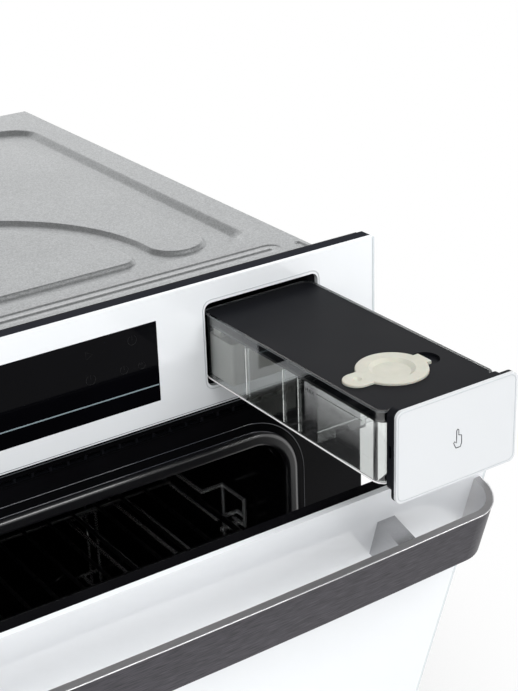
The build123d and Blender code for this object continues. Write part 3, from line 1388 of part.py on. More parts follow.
def component_tray():
    """Sheet floor of the upper compartment, with the blower's outlet and the hose's hole."""
    x = HALF_WIDTH - SHEET - FIT
    tray = block(-x, x, SHELL_Y, BACK_Y - SHEET - FIT, PANEL_BOTTOM, TRAY_TOP)
    outlet = (BLOWER_X, blower_y(), BLOWER_RADIUS * 0.7)
    hose = (INLET_X, hose_turn_y(), HOSE + FIT)
    for hole_x, hole_y, radius in (outlet, hose):
        tray -= rod((hole_x, hole_y, PANEL_BOTTOM - 1), (hole_x, hole_y, TRAY_TOP + 1), radius)
    return tray


def blower_y():
    return SEAT_Y + BLOWER_BEHIND


def air_duct():
    """Channel under the tray that leads the air to the front slot."""
    half = DUCT_WIDTH / 2
    y1 = SHELL_Y + FIT + DUCT_LENGTH
    y0 = SHELL_Y + DUCT_FRONT + FIT
    duct = block(-half, half, y0, y1, DUCT_FLOOR, PANEL_BOTTOM)
    duct -= block(-half + SHEET, half - SHEET, y0 - 1, y1 - SHEET, DUCT_FLOOR + SHEET, PANEL_BOTTOM + 1)
    return duct


def blower_housing():
    """Volute of the cooling blower on the tray."""
    z0 = TRAY_TOP
    z1 = z0 + BLOWER_HEIGHT
    y = blower_y()
    outer = BLOWER_RADIUS + BLOWER_GAP
    roof = z1 - 2 * SHEET
    body = rod((BLOWER_X, y, z0), (BLOWER_X, y, z1), outer)
    body -= rod((BLOWER_X, y, z0 - 1), (BLOWER_X, y, roof), outer - BLOWER_WALL)
    body -= rod((BLOWER_X, y, roof - 1), (BLOWER_X, y, z1 + 1), BLOWER_RADIUS * 0.45)
    return body


def blower_wheel():
    """Wheel of the cooling blower: a plate with upright blades round it."""
    y = blower_y()
    z0 = TRAY_TOP + BLOWER_GAP - SHEET
    top = TRAY_TOP + BLOWER_HEIGHT - BLOWER_GAP
    wheel = rod((BLOWER_X, y, z0), (BLOWER_X, y, z0 + BLOWER_WALL), BLOWER_RADIUS)
    plane = Plane(origin=(BLOWER_X, y, z0))
    size = (BLOWER_RADIUS * 0.24, BLOWER_WALL * 0.75)
    for step in range(BLOWER_BLADES):
        turn = 360.0 / BLOWER_BLADES * step
        blade = Rot(0, 0, turn) * Pos(BLOWER_RADIUS * 0.86, 0) * Rot(0, 0, 35) * Rectangle(*size)
        wheel += extrude(plane * blade, top - z0)
    end = TRAY_TOP + BLOWER_HEIGHT + 3 * BLOWER_ARM_RISE
    wheel += rod((BLOWER_X, y, z0), (BLOWER_X, y, end), BLOWER_SHAFT)
    return wheel


def blower_motor():
    """Small motor over the blower wheel, on three arms."""
    y = blower_y()
    z0 = TRAY_TOP + BLOWER_HEIGHT
    low = z0 + BLOWER_ARM_RISE
    motor = rod((BLOWER_X, y, low), (BLOWER_X, y, low + BLOWER_MOTOR), BLOWER_RADIUS * 0.42)
    bore_end = z0 + 3 * BLOWER_ARM_RISE + FIT
    motor -= rod((BLOWER_X, y, z0), (BLOWER_X, y, bore_end), BLOWER_SHAFT + HINGE_PIN_FIT)
    sides = (Align.MIN, Align.CENTER, Align.MIN)
    arm = Box(BLOWER_RADIUS * 0.45, BLOWER_ARM, BLOWER_ARM_RISE, align=sides)
    leg = Box(BLOWER_RADIUS * 0.1, BLOWER_ARM, 2 * BLOWER_ARM_RISE, align=sides)
    for turn in (90, 210, 330):
        place = Pos(BLOWER_X, y, z0) * Rot(0, 0, turn) * Pos(BLOWER_RADIUS * 0.3, 0, 0)
        motor += place * arm
        motor += place * leg
    return motor


def pump_y():
    return BAY_BACK + PUMP_BEHIND


def hose_turn_y():
    return BACK_Y - SHEET - 3 * HOSE


def water_pump():
    """Dosing pump on the tray behind the bay."""
    x = OPENING_X
    y = pump_y()
    z = pump_z()
    spout = HOSE - PUMP_SPOUT_STEP
    pump = rod((x - PUMP_LENGTH / 2, y, z), (x + PUMP_LENGTH / 2, y, z), PUMP_RADIUS)
    pump += block(x - PUMP_RADIUS, x + PUMP_RADIUS, y - PUMP_RADIUS, y + PUMP_RADIUS, TRAY_TOP, z)
    pump += rod((x, y, z), (x, y - PUMP_RADIUS - PUMP_SPOUT, z), spout)
    pump += rod((x - PUMP_LENGTH / 2 - PUMP_SPOUT, y, z), (x, y, z), spout)
    return pump


def pump_z():
    return TRAY_TOP + PUMP_RADIUS + PUMP_LIFT


def boiler_place():
    return BOILER_X, pump_y()


def steam_boiler():
    """Cast steam generator block with ribs."""
    x, y = boiler_place()
    z0 = TRAY_TOP
    boiler = block(x - BOILER_WIDTH / 2, x + BOILER_WIDTH / 2, y - BOILER_DEPTH / 2, y + BOILER_DEPTH / 2,
                   z0, z0 + BOILER_HEIGHT)
    pitch = BOILER_WIDTH / BOILER_RIBS
    groove = Box(pitch / 2, BOILER_DEPTH + 1, 2 * BOILER_GROOVE)
    for step in range(BOILER_RIBS):
        rib_x = x - BOILER_WIDTH / 2 + pitch * (step + 0.5)
        boiler -= Pos(rib_x, y, z0 + BOILER_HEIGHT) * groove
    return boiler


def water_hoses():
    """Hoses from the dock to the pump, from the pump to the boiler and from there to the steam inlet."""
    z = pump_z()
    y_pump = pump_y() - PUMP_RADIUS - PUMP_SPOUT - FIT
    y_dock = BAY_BACK + SOCKET_LENGTH + FIT
    length = y_pump - y_dock
    turn_a = y_dock + length * 0.35
    turn_b = y_dock + length * 0.65
    x = OPENING_X
    route = [(x, y_dock, port_z()), (x, turn_a, port_z()), (x, turn_b, z), (x, y_pump, z)]
    first = wire(route, HOSE, HOSE_DIP)
    x_boiler, y = boiler_place()
    start = OPENING_X - PUMP_LENGTH / 2 - PUMP_SPOUT - FIT
    second = rod((start, y, z), (x_boiler + BOILER_WIDTH / 2 + FIT, y, z), HOSE)
    return [first, second, steam_hose()]


def steam_hose():
    """Hose from the boiler down to the steam inlet, through the tray."""
    x_boiler, y = boiler_place()
    x, z, radius = back_holes()[2]
    z0 = TRAY_TOP + BOILER_HEIGHT / 2
    y0 = y + BOILER_DEPTH / 2 + FIT
    y1 = hose_turn_y()
    y2 = MOTOR_Y + INLET_BEHIND + FIT
    route = [(x_boiler, y0, z0), (x_boiler, y1, z0), (x, y1, z0), (x, y1, z), (x, y2, z)]
    return wire(route, HOSE, HOSE_BEND)


def power_board():
    """Power board with relays, a transformer and capacitors on stand-offs."""
    x0 = -HALF_WIDTH + BOARD_SIDE
    y0 = SEAT_Y + BOARD_FRONT
    x1 = x0 + BOARD_WIDTH
    y1 = y0 + BOARD_LENGTH
    z = TRAY_TOP + BOARD_LIFT
    top = z + BOARD
    board = block(x0, x1, y0, y1, z, top)
    for x in (x0 + BOARD_MARGIN, x1 - BOARD_MARGIN):
        for y in (y0 + BOARD_MARGIN, y1 - BOARD_MARGIN):
            board += rod((x, y, TRAY_TOP), (x, y, z + SHEET), BOARD_POST)
    left = x0 + BOARD_SIDE
    coil_y = y0 + BOARD_SIDE
    board += block(left, left + COIL_WIDTH, coil_y, coil_y + COIL_DEPTH, z, top + COIL_HEIGHT)
    for step in range(RELAY_COUNT):
        y = coil_y + COIL_DEPTH + RELAY_PITCH * (step + 1) - 2 * SHEET
        board += block(left, left + RELAY_WIDTH, y, y + RELAY_DEPTH, z, top + RELAY_HEIGHT)
    for step in range(CAN_COUNT):
        x = x1 - COIL_DEPTH
        y = coil_y + BOARD_SIDE + CAN_PITCH * step
        board += rod((x, y, z), (x, y, top + CAN_HEIGHT), CAN_RADIUS)
    return board


def terminal_x():
    return -HALF_WIDTH + TERMINAL_SIDE


def terminal_z():
    return HOUSING_TOP - TERMINAL_DROP


def terminal_box():
    """Mains terminal box in the back panel, with a cable gland in its recess."""
    x = terminal_x()
    z = terminal_z()
    width = TERMINAL_WIDTH / 2 - FIT
    height = TERMINAL_HEIGHT / 2 - FIT
    inner_width = width - TERMINAL_MARGIN
    inner_height = height - TERMINAL_MARGIN
    floor = BACK_Y - TERMINAL_RECESS
    box = block(x - width, x + width, BACK_Y - TERMINAL_DEPTH, BACK_Y, z - height, z + height)
    box -= block(x - inner_width, x + inner_width, floor, BACK_Y + 1, z - inner_height, z + inner_height)
    box += rod((x, floor - 1, z), (x, BACK_Y - 2, z), GLAND_RADIUS)
    box -= rod((x, BACK_Y - TERMINAL_DEPTH / 2, z), (x, BACK_Y, z), GLAND_BORE)
    return box


PARTS = {
    "base_plate": base_plate,
    "side_panel_left": lambda: side_panel(-1),
    "side_panel_right": lambda: side_panel(1),
    "back_panel": back_panel,
    "top_cover": top_cover,
    "control_glass": control_glass,
    "display_glass": display_glass,
    "panel_carrier": panel_carrier,
    "display_board": display_board,
    "front_frame": front_frame,
    "vent_grille": vent_grille,
    "door_gasket": door_gasket,
    "cavity_liner": cavity_liner,
    "insulation_wrap": insulation_wrap,
    "fan_cover": fan_cover,
    "convection_fan": convection_fan,
    "fan_motor": fan_motor,
    "ring_heater": ring_heater,
    "grill_element": grill_element,
    "grill_brackets": grill_brackets,
    "lamp_lens": lamp_lens,
    "lamp_holder": lamp_holder,
    "steam_inlet": steam_inlet,
    "temperature_sensor": temperature_sensor,
    "side_rack_left": lambda: side_rack(-1),
    "side_rack_right": lambda: side_rack(1),
    "rack_studs": rack_studs,
    "wire_shelf": wire_shelf,
    "hinge_brackets": hinge_brackets,
    "door_glass": door_glass,
    "door_top_trim": door_top_trim,
    "door_side_trims": door_side_trims,
    "door_inner_frame": door_inner_frame,
    "door_panes": door_panes,
    "pane_spacer": pane_spacer,
    "door_hinge_arms": door_hinge_arms,
    "handle_band": handle_band,
    "handle_struts": handle_struts,
    "handle_screws": handle_screws,
    "drawer_glass": drawer_glass,
    "drawer_block": drawer_block,
    "tank_body": tank_body,
    "tank_baffle": tank_baffle,
    "tank_valve": tank_valve,
    "tank_lid": tank_lid,
    "lid_seal": lid_seal,
    "filler_cap": filler_cap,
    "tank_bay": tank_bay,
    "dock_socket": dock_socket,
    "latch_plunger": latch_plunger,
    "component_tray": component_tray,
    "air_duct": air_duct,
    "blower_housing": blower_housing,
    "blower_wheel": blower_wheel,
    "blower_motor": blower_motor,
    "water_pump": water_pump,
    "steam_boiler": steam_boiler,
    "power_board": power_board,
    "water_hoses": water_hoses,
    "terminal_box": terminal_box,
}


def solids_of(shape):
    """All solids of one shape or of a list of shapes."""
    shapes = shape if isinstance(shape, list) else [shape]
    return [solid for item in shapes for solid in item.solids()]


def main():
    os.makedirs("parts", exist_ok=True)
    for name, make in PARTS.items():
        solids = solids_of(make())
        whole = solids[0] if len(solids) == 1 else Compound(solids)
        export_step(whole, f"parts/{name}.step")


if __name__ == "__main__":
    main()
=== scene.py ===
"""Finishes, small trim and studio for the built-in combi oven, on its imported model."""

import math

import bmesh
import bpy
import mathutils
from mathutils import Matrix, Vector


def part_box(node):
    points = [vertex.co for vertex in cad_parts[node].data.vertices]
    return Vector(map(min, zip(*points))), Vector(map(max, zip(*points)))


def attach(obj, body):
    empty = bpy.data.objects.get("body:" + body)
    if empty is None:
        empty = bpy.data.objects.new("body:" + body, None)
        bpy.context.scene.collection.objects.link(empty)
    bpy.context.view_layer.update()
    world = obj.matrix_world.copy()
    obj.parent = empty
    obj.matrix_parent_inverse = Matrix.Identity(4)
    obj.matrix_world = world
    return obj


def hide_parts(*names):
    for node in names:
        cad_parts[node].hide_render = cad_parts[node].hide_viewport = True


bl_info = {
    "name": "Combi oven finishes",
    "version": (1, 0, 0),
    "blender": (4, 5, 0),
    "location": "3D View > Sidebar > Oven",
    "description": "Dresses the packed combi oven with its finishes, trim and studio",
    "category": "Object",
}

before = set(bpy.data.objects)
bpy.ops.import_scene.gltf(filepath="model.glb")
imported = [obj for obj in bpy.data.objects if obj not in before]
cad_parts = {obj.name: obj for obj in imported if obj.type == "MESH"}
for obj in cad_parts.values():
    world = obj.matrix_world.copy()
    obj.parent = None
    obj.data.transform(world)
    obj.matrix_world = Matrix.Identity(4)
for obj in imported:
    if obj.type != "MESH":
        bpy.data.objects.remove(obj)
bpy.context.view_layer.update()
MM = 0.001


def linear(code):
    """Linear colour of an sRGB hex code."""
    channels = [int(code[i:i + 2], 16) / 255 for i in (1, 3, 5)]
    return [c / 12.92 if c <= 0.04045 else ((c + 0.055) / 1.055) ** 2.4 for c in channels]


def colour(name, description, code):
    """A colour property with an sRGB hex default."""
    return bpy.props.FloatVectorProperty(
        name=name, description=description, subtype="COLOR", size=3, min=0, max=1, default=linear(code))


def length(name, description, default):
    """A length property whose default is in millimetres."""
    return bpy.props.FloatProperty(
        name=name, description=description, subtype="DISTANCE", unit="LENGTH", default=default * MM)


def amount(name, description, default, unit="NONE"):
    """A number property that can't be negative."""
    return bpy.props.FloatProperty(name=name, description=description, unit=unit, default=default, min=0)


class OvenColours(bpy.types.PropertyGroup):
    """Colours of the oven's finishes."""
    zinc: colour("Zinc sheet", "Rolled aluminium-zinc coat of the housing", "#B6B8B9")
    white_glass: colour("White glass", "Back paint of the front glasses", "#ECEFF2")
    display: colour("Display glass", "Smoked display window", "#040406")
    black_plastic: colour("Black plastic", "Moulded black parts", "#141519")
    enamel: colour("Enamel", "Fired black enamel of the frame and the cavity", "#0A0A0C")
    handle: colour("Handle steel", "Tinted, brushed steel of the handle", "#48464B")
    cap: colour("Filler cap", "Silicone of the filler cap", "#C3C2B6")
    chrome: colour("Chrome wire", "Plated wire of the shelf", "#D8D9DA")


class OvenSizes(bpy.types.PropertyGroup):
    """Small sizes of the oven's edges, and the lean that its door is shown with."""
    glass_bevel: length("Glass bevel", "Polished bevel on the glass edges", 0.9)
    moulded_bevel: length("Moulded bevel", "Softened edge of moulded parts", 0.5)
    pressed_bevel: length("Pressed bevel", "Bend radius of the enamelled pressings", 1.0)
    handle_bevel: length("Handle bevel", "Ground edge of the handle band", 1.2)
    paint_border: length("Paint border", "Clear border between the back paint and the glass edge", 2.4)
    door_lean: bpy.props.FloatProperty(
        name="Door lean", description="Angle between the shown door and a closed one", subtype="ANGLE",
        unit="ROTATION", default=math.radians(17.2))


class StudioSettings(bpy.types.PropertyGroup):
    """Studio light, floor and camera."""
    backdrop: colour("Backdrop", "Floor and background", "#FFFFFF")
    ambient: amount("Ambient", "Even light from all round", 0.74)
    sweep_top: amount("Sweep top", "Height, as a sine, at which the mirrored backdrop starts to dim", 0.2)
    ceiling: amount("Ceiling", "Mirrored brightness overhead", 0.18)
    top_light: amount("Top light", "Power of the small soft box over the oven's front", 20.0, "POWER")
    back_light: amount("Back light", "Power of the soft box behind the oven", 4.5, "POWER")
    front_light: amount("Front light", "Power of the soft box before the oven", 8.0, "POWER")
    lens: amount("Lens", "Focal length of the camera in millimetres", 80.87, "CAMERA")


def add_node(tree, kind, inputs=None, stops=(), **settings):
    """Adds a node with its settings and colour stops; an input is a value, or a socket or node to link."""
    node = tree.nodes.new(kind)
    for key, value in settings.items():
        setattr(node, key, value)
    if stops:
        elements = node.color_ramp.elements
        while len(elements) < len(stops):
            elements.new(0.5)
        for element, (position, value) in zip(elements, stops):
            element.position = position
            element.color = (*value, 1.0)
    for key, value in (inputs or {}).items():
        socket = node.inputs[key]
        if isinstance(value, bpy.types.Node):
            value = next(output for output in value.outputs if output.enabled)
        if isinstance(value, bpy.types.NodeSocket):
            tree.links.new(value, socket)
        elif socket.type == "RGBA":
            socket.default_value = (*value, 1.0)
        else:
            socket.default_value = value
    return node


def new_material(name):
    """An empty node material; returns it, its tree and the socket that gives the place on the object."""
    material = bpy.data.materials.new(name)
    material.use_nodes = True
    tree = material.node_tree
    tree.nodes.clear()
    where = add_node(tree, "ShaderNodeTexCoord")
    return material, tree, where.outputs["Object"]


def surface(tree, inputs):
    """Ends a material with its shader and its output."""
    shader = add_node(tree, "ShaderNodeBsdfPrincipled", inputs)
    add_node(tree, "ShaderNodeOutputMaterial", {"Surface": shader})


def shade(values, factor):
    """A colour made lighter or darker by a factor."""
    return [min(1.0, channel * factor) for channel in values]


def mottle(base, dark, light):
    """Stops that let a pattern wander between two shades of a colour."""
    return [(0.3, shade(base, dark)), (0.7, shade(base, light))]


def indirect(tree, rays):
    """1 for what is seen in a mirror or through glass, and 0 for the rest."""
    return add_node(tree, "ShaderNodeMath", {
        0: rays.outputs["Is Glossy Ray"], 1: rays.outputs["Is Transmission Ray"]}, operation="MAXIMUM")


def zinc_sheet(base):
    """Rolled steel with an aluminium-zinc coat: a fine frosty spangle that scatters light in specks."""
    material, tree, place = new_material("zinc_coated_rolled_steel")
    spangle = add_node(tree, "ShaderNodeTexVoronoi", {"Vector": place, "Scale": 1 / (0.9 * MM)})
    fine = add_node(tree, "ShaderNodeSeparateColor", {"Color": spangle.outputs["Color"]})
    specks = add_node(tree, "ShaderNodeValToRGB", {"Fac": fine.outputs["Red"]},
                      stops=[(0.0, shade(base, 0.8)), (1.0, shade(base, 1.14))])
    cloud = add_node(tree, "ShaderNodeTexNoise", {"Vector": place, "Scale": 1 / (90 * MM), "Detail": 4.0})
    worn = add_node(tree, "ShaderNodeValToRGB", {"Fac": cloud},
                    stops=[(0.35, (0.94, 0.94, 0.94)), (0.65, (1.0, 1.0, 1.0))])
    tone = add_node(tree, "ShaderNodeMix", {"Factor": 1.0, 6: specks, 7: worn},
                    data_type="RGBA", blend_type="MULTIPLY")
    rough = add_node(tree, "ShaderNodeMapRange", {
        "Value": fine.outputs["Green"], "To Min": 0.28, "To Max": 0.4})
    bump = add_node(tree, "ShaderNodeBump", {
        "Height": fine.outputs["Blue"], "Strength": 0.05, "Distance": 0.04 * MM})
    surface(tree, {"Base Color": tone, "Metallic": 0.85, "Roughness": rough, "Normal": bump})
    return material


def white_glass(name, base, painted):
    """Float glass with fired white paint on its back: a flat bright field, and clear glass beyond it."""
    material, tree, place = new_material(name)
    spot = add_node(tree, "ShaderNodeSeparateXYZ", {"Vector": place})
    side = add_node(tree, "ShaderNodeMath", {0: spot.outputs["X"]}, operation="ABSOLUTE")
    beyond = add_node(tree, "ShaderNodeMath", {0: side, 1: painted}, operation="GREATER_THAN")
    clear = add_node(tree, "ShaderNodeValToRGB", {"Fac": beyond},
                     stops=[(0.0, (1, 1, 1)), (1.0, linear("#E3E8E9"))])
    cloud = add_node(tree, "ShaderNodeTexNoise", {"Vector": place, "Scale": 1 / (160 * MM)})
    paint = add_node(tree, "ShaderNodeValToRGB", {"Fac": cloud}, stops=mottle(base, 0.985, 1.0))
    tone = add_node(tree, "ShaderNodeMix", {"Factor": 1.0, 6: paint, 7: clear},
                    data_type="RGBA", blend_type="MULTIPLY")
    surface(tree, {
        "Base Color": tone, "Roughness": 0.12, "IOR": 1.52, "Specular IOR Level": 0.4,
        "Coat Weight": 1.0, "Coat Roughness": 0.01, "Coat IOR": 1.6})
    return material


def smoked_glass(base):
    """Smoked display glass: nearly black, polished, with sharp reflections."""
    material, tree, place = new_material("smoked_display_glass")
    film = add_node(tree, "ShaderNodeTexNoise", {"Vector": place, "Scale": 1 / (70 * MM), "Detail": 3.0})
    tone = add_node(tree, "ShaderNodeValToRGB", {"Fac": film}, stops=mottle(base, 1.0, 1.5))
    surface(tree, {"Base Color": tone, "Roughness": 0.03, "IOR": 1.52, "Specular IOR Level": 0.05})
    return material


def moulded_plastic(name, base, roughness, grain, strength, gloss=0.35):
    """Injection-moulded plastic with a fine spark-eroded grain that dulls its highlights."""
    material, tree, place = new_material(name)
    cloud = add_node(tree, "ShaderNodeTexNoise", {"Vector": place, "Scale": 1 / (45 * MM), "Detail": 3.0})
    tone = add_node(tree, "ShaderNodeValToRGB", {"Fac": cloud}, stops=mottle(base, 0.9, 1.1))
    rough = add_node(tree, "ShaderNodeMapRange", {
        "Value": cloud, "To Min": roughness * 0.9, "To Max": roughness * 1.15})
    # A real spark-eroded grain is about 0.1 mm. It is drawn coarser here, so that it shows.
    sparks = add_node(tree, "ShaderNodeTexNoise", {
        "Vector": place, "Scale": 1 / (grain * MM), "Detail": 2.0})
    bump = add_node(tree, "ShaderNodeBump", {"Height": sparks, "Strength": strength, "Distance": 0.1 * MM})
    surface(tree, {
        "Base Color": tone, "Roughness": rough, "IOR": 1.5, "Specular IOR Level": gloss, "Normal": bump})
    return material


def line_ink(name, code, roughness=0.3):
    """Film of printing ink, or a ground glass edge: one even tone with a soft sheen and no grain."""
    return moulded_plastic(name, linear(code), roughness, 0.5, 0.0)


def black_enamel(name, base, gloss):
    """Fired vitreous enamel on steel: deep black with a wet gloss and a slight orange peel."""
    material, tree, place = new_material(name)
    cloud = add_node(tree, "ShaderNodeTexNoise", {"Vector": place, "Scale": 1 / (60 * MM), "Detail": 2.0})
    tone = add_node(tree, "ShaderNodeValToRGB", {"Fac": cloud}, stops=mottle(base, 1.0, 1.6))
    peel = add_node(tree, "ShaderNodeTexNoise", {"Vector": place, "Scale": 1 / (5 * MM), "Detail": 1.0})
    bump = add_node(tree, "ShaderNodeBump", {"Height": peel, "Strength": 0.05, "Distance": 0.1 * MM})
    surface(tree, {
        "Base Color": tone, "Roughness": 0.12, "IOR": 1.55, "Specular IOR Level": gloss, "Normal": bump})
    return material


def painted_highlight_share(tree, place):
    """How much painted highlight a band's faces get: all of its bevel, some of its upper edge, and some of
    its inner side as painted reflection.
    """
    where = add_node(tree, "ShaderNodeTexCoord")
    normal = add_node(tree, "ShaderNodeSeparateXYZ", {"Vector": where.outputs["Normal"]})
    way_x, way_y, way_z = normal.outputs
    spot = add_node(tree, "ShaderNodeSeparateXYZ", {"Vector": place})
    rise = add_node(tree, "ShaderNodeMapRange", {"Value": way_z, "From Min": 0.15, "From Max": 0.35})
    flat = add_node(tree, "ShaderNodeMapRange", {
        "Value": way_z, "From Min": 0.88, "From Max": 0.94, "To Min": 1.0, "To Max": 0.4})
    above = add_node(tree, "ShaderNodeMath", {0: rise, 1: flat}, operation="MULTIPLY")
    behind = add_node(tree, "ShaderNodeMapRange", {"Value": way_y, "From Min": 0.05, "From Max": 0.35})
    across = add_node(tree, "ShaderNodeMath", {0: way_x, 1: spot.outputs["X"]}, operation="MULTIPLY")
    inward = add_node(tree, "ShaderNodeMapRange", {"Value": across, "From Min": -0.03, "From Max": -0.12})
    inner = add_node(tree, "ShaderNodeMath", {0: behind, 1: inward}, operation="MAXIMUM")
    dimmed = add_node(tree, "ShaderNodeMath", {0: inner, 1: 0.7}, operation="MULTIPLY")
    return add_node(tree, "ShaderNodeMath", {0: above, 1: dimmed}, operation="MAXIMUM")


def brushed_steel(name, base, grain, roughness, along, rim=None, contrast=0.28):
    """Belt-brushed steel: fine lines along one axis that stretch its highlights, and a brighter rim of
    painted highlight.
    """
    material, tree, place = new_material(name)
    # Real belt lines are about 0.1 mm wide. They are drawn coarser here, so that they show.
    line_length = 11 * MM
    stretch = [1 / (grain * MM)] * 3
    stretch[along] = 1 / line_length
    drawn = add_node(tree, "ShaderNodeMapping", {"Vector": place, "Scale": stretch})
    lines = add_node(tree, "ShaderNodeTexNoise", {"Vector": drawn, "Scale": 1.0, "Detail": 3.0})
    tone = add_node(tree, "ShaderNodeValToRGB", {"Fac": lines}, stops=[
        (0.25, shade(base, 1 - contrast)), (0.5, shade(base, 1.0)), (0.78, shade(base, 1 + 1.3 * contrast))])
    metallic = 1.0
    # A given rim colour is painted highlight on the bevel and upper edge and painted reflection on the inner
    # side; metallic drops there so it shows.
    if rim:
        highlighted = painted_highlight_share(tree, place)
        tone = add_node(tree, "ShaderNodeMix", {"Factor": highlighted, 6: tone, 7: rim}, data_type="RGBA")
        metallic = add_node(tree, "ShaderNodeMapRange", {"Value": highlighted, "To Min": 1.0, "To Max": 0.5})
    rough = add_node(tree, "ShaderNodeMapRange", {
        "Value": lines, "To Min": roughness * 0.8, "To Max": roughness * 1.3})
    bump = add_node(tree, "ShaderNodeBump", {"Height": lines, "Strength": 0.15, "Distance": 0.05 * MM})
    surface(tree, {
        "Base Color": tone, "Metallic": metallic, "Roughness": rough, "Anisotropic": 0.5, "Normal": bump})
    return material


def chrome_plate(name, base, roughness, metallic):
    """Chrome plate on drawn wire with draw marks; a lighter base makes it bright as painted highlight, a
    darker one duller as painted shade.
    """
    material, tree, place = new_material(name)
    mark = add_node(tree, "ShaderNodeTexNoise", {"Vector": place, "Scale": 1 / (6 * MM), "Detail": 3.0})
    tone = add_node(tree, "ShaderNodeValToRGB", {"Fac": mark},
                    stops=[(0.3, shade(base, 0.85)), (0.6, shade(base, 1.0))])
    rough = add_node(tree, "ShaderNodeMapRange", {
        "Value": mark, "To Min": roughness * 0.7, "To Max": roughness * 1.3})
    surface(tree, {"Base Color": tone, "Metallic": metallic, "Roughness": rough})
    return material


def clear_plastic(name, tint, roughness, ior):
    """Clear moulded styrene or float glass: see-through, with a soft flow ripple."""
    material, tree, place = new_material(name)
    flow = add_node(tree, "ShaderNodeTexNoise", {"Vector": place, "Scale": 1 / (14 * MM), "Detail": 1.0})
    bump = add_node(tree, "ShaderNodeBump", {"Height": flow, "Strength": 0.08, "Distance": 0.15 * MM})
    surface(tree, {
        "Base Color": tint, "Roughness": roughness, "IOR": ior, "Transmission Weight": 1.0, "Normal": bump})
    return material


def silicone(name, base, roughness, milky, gloss=0.5):
    """Pressed silicone rubber: soft sheen with a little light passing into it."""
    material, tree, place = new_material(name)
    cloud = add_node(tree, "ShaderNodeTexNoise", {"Vector": place, "Scale": 1 / (9 * MM), "Detail": 4.0})
    tone = add_node(tree, "ShaderNodeValToRGB", {"Fac": cloud}, stops=mottle(base, 0.95, 1.04))
    bump = add_node(tree, "ShaderNodeBump", {"Height": cloud, "Strength": 0.05, "Distance": 0.2 * MM})
    surface(tree, {
        "Base Color": tone, "Roughness": roughness, "IOR": 1.43, "Specular IOR Level": gloss,
        "Coat Weight": max(0.0, gloss - 0.5) * 2, "Coat Roughness": roughness * 0.6,
        "Subsurface Weight": milky, "Subsurface Scale": 2 * MM, "Normal": bump})
    return material


def sand_blasted(start, top):
    """Sand-blasted window in clear plastic: a white haze that thickens upwards and lets the inside show."""
    material, tree, place = new_material("sand_blasted_san")
    spot = add_node(tree, "ShaderNodeSeparateXYZ", {"Vector": place})
    haze = add_node(tree, "ShaderNodeMapRange", {
        "Value": spot.outputs["Z"], "From Min": start, "From Max": top, "To Min": 0.01, "To Max": 0.22})
    grit = add_node(tree, "ShaderNodeTexNoise", {"Vector": place, "Scale": 1 / (6 * MM), "Detail": 5.0})
    uneven = add_node(tree, "ShaderNodeMapRange", {"Value": grit, "To Min": 0.6, "To Max": 1.4})
    cover = add_node(tree, "ShaderNodeMath", {0: haze, 1: uneven}, operation="MULTIPLY")
    surface(tree, {"Base Color": linear("#F3F5F6"), "Roughness": 0.6, "Alpha": cover})
    return material


def mineral_wool():
    """Bonded mineral wool: matted yellow-brown fibre with no gloss."""
    material, tree, place = new_material("bonded_mineral_wool")
    matted = add_node(tree, "ShaderNodeMapping", {"Vector": place, "Scale": (1, 1, 4)})
    fibre = add_node(tree, "ShaderNodeTexNoise", {"Vector": matted, "Scale": 1 / (3 * MM), "Detail": 8.0})
    tone = add_node(tree, "ShaderNodeValToRGB", {"Fac": fibre}, stops=mottle(linear("#A8935C"), 0.6, 1.2))
    bump = add_node(tree, "ShaderNodeBump", {"Height": fibre, "Strength": 0.6, "Distance": 0.8 * MM})
    surface(tree, {"Base Color": tone, "Roughness": 0.95, "Normal": bump})
    return material


def heater_oxide():
    """Heater tube of nickel alloy, oxidised to a dull brown black by heat."""
    material, tree, place = new_material("oxidised_heater_tube")
    scale = add_node(tree, "ShaderNodeTexNoise", {"Vector": place, "Scale": 1 / (8 * MM), "Detail": 5.0})
    tone = add_node(tree, "ShaderNodeValToRGB", {"Fac": scale}, stops=mottle(linear("#2E2A26"), 0.7, 1.5))
    surface(tree, {"Base Color": tone, "Metallic": 0.7, "Roughness": 0.5})
    return material


def circuit_board():
    """Glass-fibre circuit board under green solder mask, with its traces as a faint pattern."""
    base = linear("#14512C")
    material, tree, place = new_material("solder_masked_board")
    traces = add_node(tree, "ShaderNodeTexBrick", {
        "Vector": place, "Scale": 1 / (12 * MM), "Color1": base, "Color2": shade(base, 0.8),
        "Mortar": shade(base, 1.5), "Mortar Size": 0.03})
    surface(tree, {"Base Color": traces, "Roughness": 0.3, "Coat Weight": 0.4})
    return material


def dress(material, *nodes):
    """Gives CAD nodes a finish in place of their packed one."""
    for name in nodes:
        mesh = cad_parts[name].data
        mesh.materials.clear()
        mesh.materials.append(material)


def soften(width, *nodes, segments=2):
    """Rounds the sharp edges of CAD nodes a little, as the real making leaves them."""
    sharpest_kept = math.radians(38)
    for name in nodes:
        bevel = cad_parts[name].modifiers.new("edge", "BEVEL")
        bevel.width = width
        bevel.segments = segments
        bevel.limit_method = "ANGLE"
        bevel.angle_limit = sharpest_kept
        bevel.use_clamp_overlap = True
        bevel.harden_normals = True


def box_mm(node):
    """Lowest and highest corner of a CAD node's box, in millimetres."""
    return [Vector([value / MM for value in corner]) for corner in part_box(node)]


def hung(name, data, material, body, replaced=()):
    """Puts a mesh, a curve or a text in the scene with its material, riding on a body."""
    piece = bpy.data.objects.new(name, data)
    bpy.context.scene.collection.objects.link(piece)
    data.materials.append(material)
    if replaced:
        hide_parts(*replaced)
    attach(piece, body)
    return piece


def new_piece(name, build, material, body):
    """A mesh piece from a bmesh that build fills, in metres, riding on a body."""
    mesh = bpy.data.meshes.new(name)
    work = bmesh.new()
    build(work)
    bmesh.ops.recalc_face_normals(work, faces=work.faces)
    work.to_mesh(mesh)
    work.free()
    return hung(name, mesh, material, body)


def fine_curve(name, radius):
    """An empty curve whose runs are round, with a radius in millimetres."""
    curve = bpy.data.curves.new(name, "CURVE")
    curve.dimensions = "3D"
    curve.bevel_depth = radius * MM
    return curve


